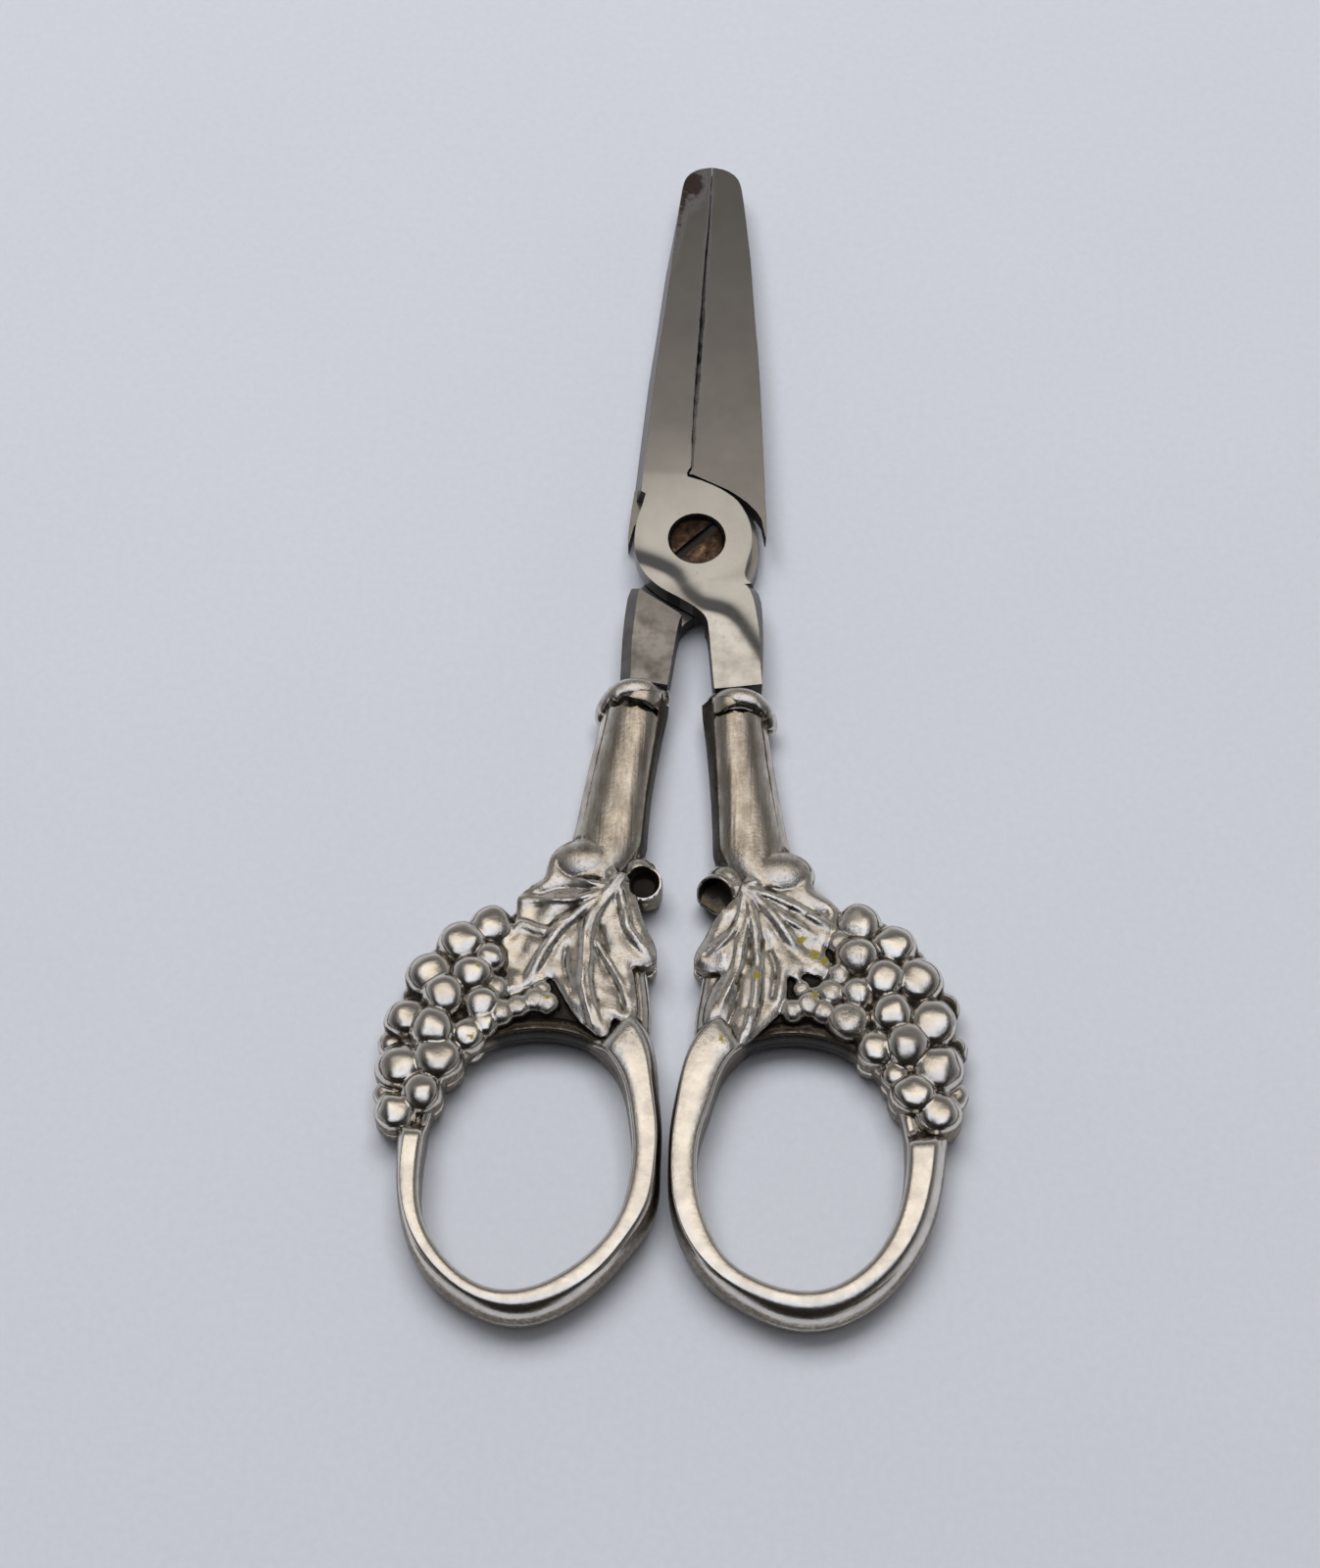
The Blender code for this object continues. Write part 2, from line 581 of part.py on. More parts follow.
def add_leaf(handle):
    """Vine leaf with raised veins, and the hooked stalk with its hollow end."""
    meeting = (LEAF_SPREAD, -LEAF_DROP)
    outline = scaled(LEAF_SHARES, LEAF_LENGTH, LEAF_LENGTH, meeting)
    add(handle, slab("leaf", [outline], -LEAF_FOOT_SHARE * BOW_BEVEL, LEAF_HEIGHT),
        solver=CLOSE_SOLVER)
    hook_x, hook_y = scaled([HOOK_SHARES], LEAF_LENGTH, LEAF_LENGTH, meeting)[0]
    hook = (hook_x, hook_y, HOOK_RISE)
    add(handle, post("hook", hook, HOOK_RADIUS, -HOOK_FOOT_SHARE * BOW_BEVEL, HOOK_LENGTH,
                     ROUND_SIDES // 2, HOOK_WAY_SHARES), solver=CLOSE_SOLVER)
    stalk = [(hook_x, hook_y + HOOK_RADIUS / 2, LEAF_HEIGHT - VEIN_RADIUS),
             (*meeting, LEAF_HEIGHT - VEIN_RADIUS)]
    add(handle, rod("stalk", stalk, 2 * VEIN_RADIUS), solver=CLOSE_SOLVER)
    cut(handle, post("hook_bore", hook, HOOK_BORE, HOOK_LENGTH - HOOK_DEPTH, OVERRUN,
                     ROUND_SIDES // 2, HOOK_WAY_SHARES), solver=CLOSE_SOLVER)
    for x, y in scaled(VEIN_SHARES, LEAF_LENGTH, LEAF_LENGTH, meeting):
        root = Vector((*meeting, LEAF_HEIGHT))
        end = Vector((x, y, LEAF_HEIGHT - VEIN_RADIUS / 2))
        start = root + (end - root).normalized() * 3 * VEIN_RADIUS
        add(handle, rod("vein", [start, end], VEIN_RADIUS), solver=CLOSE_SOLVER)


def grape(place, radius, turn):
    """One grape, a ball whose top lies just below the bows' ground faces."""
    solid = bmesh.new()
    bmesh.ops.create_uvsphere(
        solid, u_segments=GRAPE_SEGMENTS, v_segments=GRAPE_RINGS, radius=radius)
    tilt = Matrix.Rotation(turn, 4, "Z") @ Matrix.Rotation(GRAPE_TILT, 4, "X")
    middle = Matrix.Translation((*place, BOW_TOP - GRAPE_SINK - radius)) @ tilt
    bmesh.ops.transform(solid, matrix=middle, verts=solid.verts)
    mesh = bpy.data.meshes.new("grape")
    solid.to_mesh(mesh)
    solid.free()
    return new_object("grape", mesh)


def right_handle_front():
    """Front half of the right handle: bow, leaf, grapes and the hollow stem."""
    handle = bow_solid()
    handle.name = "right_handle_front"
    first = (CLUSTER_SPREAD, -CLUSTER_DROP)
    shelf = scaled(SHELF_SHARES, CLUSTER_LENGTH, CLUSTER_LENGTH, first)
    shelf += [(x, -LEAF_DROP) for x, y in reversed(shelf)]
    cut(handle, slab("shelf", [shelf], WEB_HEIGHT - SEAM_GAP, BOW_TOP + OVERRUN),
        solver=CLOSE_SOLVER)
    web = scaled(WEB_SHARES, CLUSTER_LENGTH, CLUSTER_LENGTH, first)
    add(handle, slab("web", [web], -WEB_FOOT_SHARE * BOW_BEVEL, WEB_HEIGHT),
        solver=CLOSE_SOLVER)
    stem = stem_bar("stem", STEM_START, STEM_END, stem_size(STEM_START, 0.0),
                    stem_size(STEM_END, 0.0), ROUND_SIDES // 2)
    add(handle, stem, solver=CLOSE_SOLVER)
    add_leaf(handle)
    for count, (x, y, radius) in enumerate(GRAPE_SHARES):
        place = (first[0] + x * CLUSTER_LENGTH, first[1] + y * CLUSTER_LENGTH)
        add(handle, grape(place, radius * GRAPE_RADIUS, count * GRAPE_TURN),
            solver=CLOSE_SOLVER)
    mouth = STEM_START - STEM_WALL
    cavity = stem_bar(
        "cavity", mouth, CAVITY_END, stem_size(mouth, STEM_WALL),
        stem_size(CAVITY_END, STEM_WALL), ROUND_SIDES // 2)
    far = BOW_REACH + BOW_LENGTH
    cut(handle, cavity, box("back", (-far, -far, -OVERRUN), (far, 0.0, PARTING)),
        solver=CLOSE_SOLVER)
    return handle


def mirrored(item, name, flip_x, flip_z):
    """Copy of a piece, mirrored across the tool's centre line, its thickness, or both."""
    solid = bmesh.new()
    solid.from_mesh(item.data)
    matrix = Matrix.Diagonal((-1.0 if flip_x else 1.0, 1.0, -1.0 if flip_z else 1.0, 1.0))
    solid.transform(matrix)
    if flip_x != flip_z:
        bmesh.ops.reverse_faces(solid, faces=solid.faces)
    mesh = bpy.data.meshes.new(name)
    solid.to_mesh(mesh)
    solid.free()
    return new_object(name, mesh)


def settle(item, collection, finish, metallic=1.0):
    """Clean a finished piece and put it in its place, origin on the pivot's axis."""
    weld_mesh(item.data)
    item.data.shade_smooth()
    item.data.set_sharp_from_angle(angle=math.radians(35.0))
    item.data.materials.clear()
    item.data.materials.append(finish_material(finish, metallic))
    item.location = PIVOT
    bpy.context.scene.collection.objects.unlink(item)
    collection.objects.link(item)


def build():
    collection = clear_scene()
    front = steel_half("front_blade", SCREW_SHAFT_RADIUS + SHAFT_GAP, True)
    back = steel_half("back_blade_unturned", SCREW_SHAFT_RADIUS + SHAFT_GAP, False)
    back_blade = mirrored(back, "back_blade", True, True)
    bpy.data.objects.remove(back, do_unlink=True)
    settle(front, collection, STEEL)
    settle(back_blade, collection, STEEL)
    settle(pivot_screw(), collection, SCREW_STEEL)

    collar = right_collar()
    filler = right_filler()
    handle = right_handle_front()
    pieces = [
        (collar, SILVER, 1.0), (mirrored(collar, "left_collar", True, False), SILVER, 1.0),
        (filler, CEMENT, 0.0),
        (mirrored(filler, "left_handle_filler", True, False), CEMENT, 0.0),
        (handle, SILVER, 1.0),
        (mirrored(handle, "right_handle_back", False, True), SILVER, 1.0),
        (mirrored(handle, "left_handle_front", True, False), SILVER, 1.0),
        (mirrored(handle, "left_handle_back", True, True), SILVER, 1.0)]
    for item, finish, metallic in pieces:
        settle(item, collection, finish, metallic)


build()
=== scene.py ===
# %% [markdown]
# # Grape shears with vine handles
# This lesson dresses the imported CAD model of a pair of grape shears: two nickel-plated steel
# halves on a pivot screw, each held in a cast and silver-plated handle with a vine leaf, a
# bunch of grapes and a finger bow. The CAD model is loaded first. It stays where it is, and
# every new piece is made in the same frame and rides on one of its bodies.

# %% Load the frame
import math
from contextlib import contextmanager
from functools import partial

import bpy
import numpy as np
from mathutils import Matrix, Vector


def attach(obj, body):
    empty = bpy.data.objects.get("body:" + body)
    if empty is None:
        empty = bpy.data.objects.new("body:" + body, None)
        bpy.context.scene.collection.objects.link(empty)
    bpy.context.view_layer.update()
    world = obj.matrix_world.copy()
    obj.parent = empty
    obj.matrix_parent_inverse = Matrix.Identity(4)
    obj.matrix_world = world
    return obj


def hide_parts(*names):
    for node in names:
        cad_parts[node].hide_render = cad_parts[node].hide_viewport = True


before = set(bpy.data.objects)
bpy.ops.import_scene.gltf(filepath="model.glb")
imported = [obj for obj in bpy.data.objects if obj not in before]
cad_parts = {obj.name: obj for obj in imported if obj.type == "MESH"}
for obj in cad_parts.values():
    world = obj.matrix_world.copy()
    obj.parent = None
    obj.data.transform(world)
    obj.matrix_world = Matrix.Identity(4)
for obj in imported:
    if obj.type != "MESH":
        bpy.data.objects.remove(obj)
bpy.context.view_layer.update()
MM = 0.001
MIDDLE = 3.1         # height of the plane on which a handle's two halves meet, in mm
HALF_JOINT = 0.05    # half of the fine joint between the halves, in mm
UNDER = -0.8         # a half is made down to here, below its middle plane, and then cut off
ORIGIN = (0.0, 0.0, 0.0)

# %% [markdown]
# ## Working habits
# Each operator acts on all that is selected, so everything is deselected before a piece is
# made. The pieces are modelled in millimetres, because bevels, Booleans and remeshing are
# steadier on numbers near one. The last step of each piece brings it down to metres with the
# resize operator, about the world's origin, so the finished object sits unturned and unscaled.

# %% Selecting and editing
def deselect():
    if bpy.context.object is not None and bpy.context.object.mode != "OBJECT":
        bpy.ops.object.mode_set(mode="OBJECT")
    bpy.ops.object.select_all(action="DESELECT")


def pick(*objects):
    deselect()
    for obj in objects:
        obj.select_set(True)
    bpy.context.view_layer.objects.active = objects[0]


@contextmanager
def editing(obj):
    """Edit mode with the whole piece selected, for the operators in the block below."""
    pick(obj)
    bpy.ops.object.mode_set(mode="EDIT")
    bpy.ops.mesh.select_all(action="SELECT")
    yield
    bpy.ops.object.mode_set(mode="OBJECT")


def copy_of(obj):
    pick(obj)
    bpy.ops.object.duplicate()
    return bpy.context.object


def add_modifier(obj, kind, **settings):
    pick(obj)
    modifier = obj.modifiers.new(kind.lower(), kind)
    for key, value in settings.items():
        setattr(modifier, key, value)
    bpy.ops.object.modifier_apply(modifier=modifier.name)


def combine(obj, tool, operation="UNION"):
    add_modifier(obj, "BOOLEAN", object=tool, operation=operation, solver="MANIFOLD")
    bpy.data.objects.remove(tool)
    return obj


# %% Reading and writing a mesh
def read(items, key, width=3, kind=float):
    """One row of numbers for each vertex, edge or face."""
    flat = np.zeros(len(items) * width, kind)
    items.foreach_get(key, flat)
    return flat.reshape(-1, width)


def points_of(obj):
    return read(obj.data.vertices, "co")


def set_points(obj, points):
    obj.data.vertices.foreach_set("co", np.ascontiguousarray(points, float).ravel())
    obj.data.update()


def add_mark(obj, name, values, domain="POINT"):
    """An attribute between 0 and 1 that a material reads."""
    attribute = obj.data.attributes.new(name, "FLOAT", domain)
    attribute.data.foreach_set("value", np.clip(values, 0.0, 1.0).astype(np.float32))


# %% Setting a piece on the tool and finishing it
def set_on_tool(obj, way, shift):
    """Mirror a piece where its side asks for it, and move it to its place."""
    with editing(obj):
        bpy.ops.transform.resize(value=way, center_override=ORIGIN)
        bpy.ops.transform.translate(value=shift)
        if math.prod(way) < 0:
            bpy.ops.mesh.normals_make_consistent(inside=False)


def finish_piece(obj, name, body, material, node, smooth_angle=40.0):
    with editing(obj):
        bpy.ops.transform.resize(value=(MM, MM, MM), center_override=ORIGIN)
    bpy.ops.object.shade_smooth_by_angle(angle=math.radians(smooth_angle))
    obj.name = name
    obj.data.name = name
    obj.data.materials.clear()
    obj.data.materials.append(material)
    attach(obj, body)
    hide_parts(node)
    print(name, "has", len(obj.data.polygons), "faces")


# %% [markdown]
# ## Lofting from a circle
# A bow, a stem or a stalk is one closed loop that is carried along and changes as it goes.
# By hand that is a circle whose edge is extruded again and again, each new edge pulled to its
# place. The operator gives the new points no known order, so each is matched to the point it
# was extruded from.

# %% Loft
def loft(rows, caps=True):
    count = len(rows[0])
    deselect()
    bpy.ops.mesh.primitive_circle_add(vertices=count, fill_type="NGON" if caps else "NOTHING")
    obj = bpy.context.object
    for index, point in enumerate(rows[0]):
        obj.data.vertices[index].co = point
    order = {index: index for index in range(count)}
    for row in rows[1:]:
        known = len(obj.data.vertices)
        bpy.ops.object.mode_set(mode="EDIT")
        bpy.ops.mesh.extrude_edges_move()
        bpy.ops.object.mode_set(mode="OBJECT")
        fresh = {}
        for edge in obj.data.edges:
            low, high = sorted(edge.vertices)
            if low < known <= high:
                fresh[high] = order[low]
        for index, share in fresh.items():
            obj.data.vertices[index].co = row[share]
        order = fresh
    bpy.ops.object.mode_set(mode="EDIT")
    if caps:
        bpy.ops.mesh.edge_face_add()
    bpy.ops.mesh.select_all(action="SELECT")
    bpy.ops.mesh.remove_doubles(threshold=0.0005)
    bpy.ops.mesh.normals_make_consistent(inside=False)
    bpy.ops.object.mode_set(mode="OBJECT")
    return obj


# %% Lines, circles and steps
def smooth_line(points, count, closed=False):
    """A curve through the points, evenly shared out along its length."""
    given = np.array(points, float)
    if closed:
        given = np.vstack([given[-1], given, given[:2]])
    else:
        given = np.vstack([2 * given[0] - given[1], given, 2 * given[-1] - given[-2]])
    t = np.linspace(0.0, 1.0, 12, endpoint=False)[:, None]
    dense = [0.5 * (2 * b + (c - a) * t + (2 * a - 5 * b + 4 * c - d) * t ** 2
                    + (3 * b - a - 3 * c + d) * t ** 3)
             for a, b, c, d in zip(given[:-3], given[1:-2], given[2:-1], given[3:])]
    dense = np.vstack(dense + [given[-2]])
    reach = np.concatenate([[0.0], np.cumsum(np.linalg.norm(np.diff(dense, axis=0), axis=1))])
    wanted = np.linspace(0.0, reach[-1], count, endpoint=not closed)
    return np.column_stack([np.interp(wanted, reach, axis) for axis in dense.T])


def at_height(line, heights):
    return np.column_stack([line, np.broadcast_to(heights, len(line))])


def ring(count):
    """Points of a circle of radius one."""
    turns = np.linspace(0, 2 * math.pi, count, endpoint=False)
    return np.column_stack([np.cos(turns), np.sin(turns)])


def cos_sin(degrees):
    return math.cos(math.radians(degrees)), math.sin(math.radians(degrees))


def rise(value, start, end):
    """0 at the start, 1 at the end and even between them. The end may be the lower one."""
    return np.clip((value - start) / (end - start), 0.0, 1.0)


def hump(distance, width):
    return np.exp(-(distance / width) ** 2)


def ripple(places, wave, seed):
    """A smooth unevenness, as hammer, file and polish leave it, between -1 and 1."""
    draw = np.random.default_rng(seed)
    total = np.zeros(len(places))
    for _ in range(7):
        way = draw.normal(size=places.shape[1])
        way /= np.linalg.norm(way)
        length = wave * draw.uniform(0.7, 1.5)
        total += np.sin(places @ way * 2 * math.pi / length + draw.uniform(0, 6.28))
    return total / 4.0


# %% [markdown]
# ## Colours and nodes
# A colour is written as it would be picked on screen, and one function turns it into the
# linear numbers that a shader needs. One small function adds a node with its settings and
# whatever feeds it, and gives back the socket that the next node reads.

# %% Colour and nodes
def colour(code):
    parts = [int(code[k:k + 2], 16) / 255 for k in (1, 3, 5)]
    return [c / 12.92 if c <= 0.04045 else ((c + 0.055) / 1.055) ** 2.4 for c in parts] + [1.0]


def feed(tree, node, inputs):
    """Each input is another node's socket, a colour or a plain value."""
    for key, value in inputs.items():
        if isinstance(value, bpy.types.NodeSocket):
            tree.links.new(value, node.inputs[key])
        else:
            node.inputs[key].default_value = colour(value) if isinstance(value, str) else value


def add_node(tree, kind, inputs=(), out=0, stops=(), **settings):
    node = tree.nodes.new("ShaderNode" + kind)
    for key, value in settings.items():
        setattr(node, key, value)
    feed(tree, node, inputs if isinstance(inputs, dict) else dict(enumerate(inputs)))
    for index, (place, shade) in enumerate(stops):
        elements = node.color_ramp.elements
        element = elements[index] if index < len(elements) else elements.new(1.0)
        element.position = place
        element.color = colour(shade)
    return node.outputs[out]


def new_material(name):
    """A material, the function that adds its nodes, and the one that feeds its shader."""
    material = bpy.data.materials.new(name)
    material.use_nodes = True
    tree = material.node_tree
    return material, partial(add_node, tree), partial(feed, tree, tree.nodes["Principled BSDF"])


FACTOR, FIRST, SECOND = 0, 6, 7      # sockets of a Mix node that mixes colours
BLEND = {"out": 2, "data_type": "RGBA"}
MULTIPLY = {**BLEND, "blend_type": "MULTIPLY"}
SMOOTH = {"interpolation_type": "SMOOTHSTEP"}
NOISE = {"Roughness": 0.6}           # how much each finer wave of a noise weighs
print("white is", colour("#ffffff"))

# %% [markdown]
# ## The camera
# The picture was taken from the handles' end, 63 degrees above the table and turned slightly
# to the right. The tool runs away from the lens, so a fairly near camera with a long lens gives
# the same narrowing towards the tip. The frame is upright, so the sensor's width is its height.

# %% Camera
ELEVATION = math.radians(63.0)
TURN = math.radians(2.269)
DISTANCE = 390.95 * MM
AIM = Vector((-3.185, -10.871, MIDDLE)) * MM
deselect()
bpy.ops.object.camera_add()
camera = bpy.context.object
camera.name = "camera"
back = Vector((math.sin(TURN) * math.cos(ELEVATION), -math.cos(TURN) * math.cos(ELEVATION),
               math.sin(ELEVATION)))
camera.location = AIM + back * DISTANCE
camera.rotation_euler = (math.pi / 2 - ELEVATION, 0.0, TURN)
camera.data.lens = 76.5
camera.data.sensor_width = 36.0
bpy.context.scene.camera = camera
bpy.context.scene.view_settings.view_transform = "Standard"
print("camera at", [round(v, 3) for v in camera.location])

# %% [markdown]
# ## The table
# The shears lie on a pale, slightly blue board. It is matt, with a faint fleck as card has, so
# it gives the eye a soft shadow and no mirror image.

# %% Table
deselect()
bpy.ops.mesh.primitive_grid_add(x_subdivisions=8, y_subdivisions=8, size=5.0)
table = bpy.context.object
table.name = "table"
paper, node, finish = new_material("matt_pale_table_board")
place = node("TexCoord", out="Object")
speckle, patches = (
    node("TexNoise", {"Vector": place, "Scale": 1.0 / (size * MM), "Detail": detail, **NOISE})
    for size, detail in ((0.9, 4.0), (60.0, 2.0)))
tone = node("Mix", {FACTOR: patches, FIRST: "#d2d3d8", SECOND: "#d8d9dd"}, **BLEND)
fleck = node("MapRange", (speckle, 0.0, 1.0, 0.0, 0.5))
finish({"Base Color": node("Mix", {FACTOR: fleck, FIRST: tone, SECOND: "#bcbfc6"}, **BLEND),
        "Roughness": 0.85, "Specular IOR Level": 0.2})
table.data.materials.append(paper)
print("table is", round(table.dimensions.x, 2), "m wide")

# %% [markdown]
# ## The room
# Polished metal shows mostly what stands around it, so the room matters more than the lamp.
# One wide warm panel hangs high beyond the tip. Ground faces that look up mirror it and turn
# cream. The wall in front is dark, and sides that face the camera mirror it and turn black.
# The far wall, the side walls and a pale band low down keep the other sides from going black.
# The world is painted by direction, and every edge in it is soft.

# %% Room light painted by direction
room = bpy.data.worlds.new("studio_room")
room.use_nodes = True
bpy.context.scene.world = room
node = partial(add_node, room.node_tree)
direction = node("TexCoord", out="Generated")
across, ahead, upward = (node("SeparateXYZ", (direction,), axis) for axis in range(3))
lean = node("Math", (upward, ahead), operation="ARCTAN2")
side = node("Math", (across,), operation="ABSOLUTE")
edges = {name: node("MapRange", (value, start, end), **SMOOTH) for name, value, start, end in (
    ("panel foot", lean, math.radians(51.5), math.radians(66.0)),
    ("panel head", lean, math.radians(116.0), math.radians(104.0)),
    ("panel side", side, 0.52, 0.28), ("panel cool", lean, math.radians(68.0), math.radians(86.0)),
    ("far", ahead, -0.25, 0.45), ("far low", upward, 0.80, 0.25),
    ("beside", side, 0.55, 0.90), ("beside low", upward, 0.75, 0.35),
    ("band", upward, 0.42, 0.12), ("band side", side, 0.35, 0.70),
    ("band back", ahead, -0.1, 0.3))}
panel, beside, band_back = (
    node("Math", (edges[first], edges[second]), operation=operation)
    for first, second, operation in (("panel foot", "panel head", "MULTIPLY"),
                                     ("beside", "beside low", "MULTIPLY"),
                                     ("band side", "band back", "MAXIMUM")))
panel = node("Math", (panel, edges["panel side"]), operation="MULTIPLY")
band = node("Math", (edges["band"], band_back), operation="MULTIPLY")
far_wall = node("Mix", {FACTOR: edges["far low"], FIRST: "#53514f", SECOND: "#8a8783"}, **BLEND)
glow = node("Mix", {FACTOR: edges["panel cool"], FIRST: "#fff3e3", SECOND: "#e9ecf6"}, **BLEND)
walls = "#1f1c19"
for share, shade in ((edges["far"], far_wall), (beside, "#7e7e80"), (band, "#b1b2b6"),
                     (panel, glow)):
    walls = node("Mix", {FACTOR: share, FIRST: walls, SECOND: shade}, **BLEND)
feed(room.node_tree, room.node_tree.nodes["Background"], {"Color": walls, "Strength": 1.15})
print("the room has", len(edges), "soft edges")

# %% Lamp
deselect()
bpy.ops.object.light_add(type="AREA")
lamp = bpy.context.object
lamp.name = "overhead_panel"
lamp.data.shape = "RECTANGLE"
lamp.data.size = 0.9
lamp.data.size_y = 0.6
lamp.data.energy = 9.0
lamp.data.color = colour("#f6f9ff")[:3]
lamp.location = (-0.10, 0.36, 0.95)
lamp.rotation_euler = (Vector(ORIGIN) - lamp.location).to_track_quat("-Z", "Y").to_euler()
lamp.visible_glossy = False
print("lamp of", lamp.data.energy, "W at", [round(v, 2) for v in lamp.location])

# %% [markdown]
# ## Silver plate on a casting
# The handles are nickel silver castings with a worn silver plate. High places are rubbed
# bright and slightly warm, hollows keep a brown to black tarnish, and the surface has fine
# polishing marks. Each handle carries marks, measured on its mesh later on: "hollow" says how
# deep a point lies among its neighbours and adds painted shade between and beside the grapes,
# on steep sides, in the cup and on the stem's inner wall, "cast" where the skin is still rough
# from the mould, "dull" where the stem was filed lengthwise, and "residue" where green polish
# has dried.

# %% Silver plate
def silver_plate():
    material, node, finish = new_material("worn_silver_plate_on_casting")
    deep, cast, dull, residue = (node("Attribute", out="Fac", attribute_name=name)
                                 for name in ("hollow", "cast", "dull", "residue"))
    place = node("TexCoord", out="Object")
    streaked, fluted, brushed = (node("Mapping", {"Vector": place, "Scale": (1.0, along, 1.0)})
                                 for along in (0.25, 0.03, 0.12))
    grain, cloud, pores, smears, clots, dents, files, strokes = (
        node("TexNoise", {"Vector": where, "Scale": 1.0 / (size * MM), "Detail": detail, **NOISE})
        for where, size, detail in (
            (place, 0.45, 4.0), (place, 2.6, 3.0), (place, 0.55, 5.0), (streaked, 1.2, 4.0),
            (place, 0.6, 3.0), (place, 0.22, 3.0), (fluted, 0.9, 2.0), (brushed, 0.25, 2.0)))
    wander = node("MapRange", (grain, 0.0, 1.0, -0.12, 0.12))
    edge = node("Math", (deep, wander), operation="ADD")
    clouded = node("MapRange", (cloud, 0.35, 0.65))
    metal = node("Mix", {FACTOR: clouded, FIRST: "#f1eee9", SECOND: "#dfdbd6"}, **BLEND)
    # From clean metal to near black: tarnish in the hollows, and painted shade where the mark adds it
    tarnish_and_shade = node("ValToRGB", (edge,), stops=(
        (0.0, "#ffffff"), (0.58, "#f4f1ec"), (0.74, "#8b8274"), (0.90, "#1e1610")))
    mottled = node("ValToRGB", (pores,), stops=(
        (0.33, "#aca7a3"), (0.42, "#eae7e4"), (0.50, "#ffffff")))
    film = node("ValToRGB", (smears,), stops=(
        (0.34, "#c4bfb8"), (0.50, "#e4e0da"), (0.64, "#fffefc")))
    pitted = node("Math", (cast, 0.6), operation="MULTIPLY")
    for share, shade in ((1.0, tarnish_and_shade), (pitted, mottled), (dull, film)):
        metal = node("Mix", {FACTOR: share, FIRST: metal, SECOND: shade}, **MULTIPLY)
    clotted = node("MapRange", (clots, 0.3, 0.7, 0.2, 1.6))
    clotted = node("Math", (residue, clotted), operation="MULTIPLY")
    green = node("MapRange", (clotted, 0.35, 0.8), **SMOOTH)
    # Where it is darkest the plate stops being metal: a tarnish crust, and painted shade where the mark
    # adds it
    crust_and_shade = node("MapRange", (edge, 0.76, 0.90), **SMOOTH)
    crust_and_shade = node("Math", (green, crust_and_shade), operation="MAXIMUM")
    filed = node("Math", (dull, 0.5), operation="MULTIPLY")
    filed = node("Math", (cast, filed), operation="MAXIMUM")
    rough = node("MapRange", (cloud, 0.3, 0.7, 0.16, 0.25))
    for more in (node("MapRange", (filed, 0.0, 1.0, 0.0, 0.075)),
                 node("MapRange", (edge, 0.6, 0.95, 0.0, 0.35))):
        rough = node("Math", (rough, more), operation="ADD")
    normal = {}
    for height, share, depth in ((grain, 1.0, 0.020), (files, dull, 0.05), (dents, cast, 0.03),
                                 (strokes, 1.0, 0.003)):
        relief = node("Math", (share, height), operation="MULTIPLY")
        normal = {"Normal": node("Bump", {"Height": relief, "Distance": depth * MM, **normal})}
    finish({"Base Color": node("Mix", {FACTOR: green, FIRST: metal, SECOND: "#8f8430"}, **BLEND),
            "Metallic": node("MapRange", (crust_and_shade, 0.0, 1.0, 1.0, 0.15)),
            "Roughness": rough, **normal})
    return material
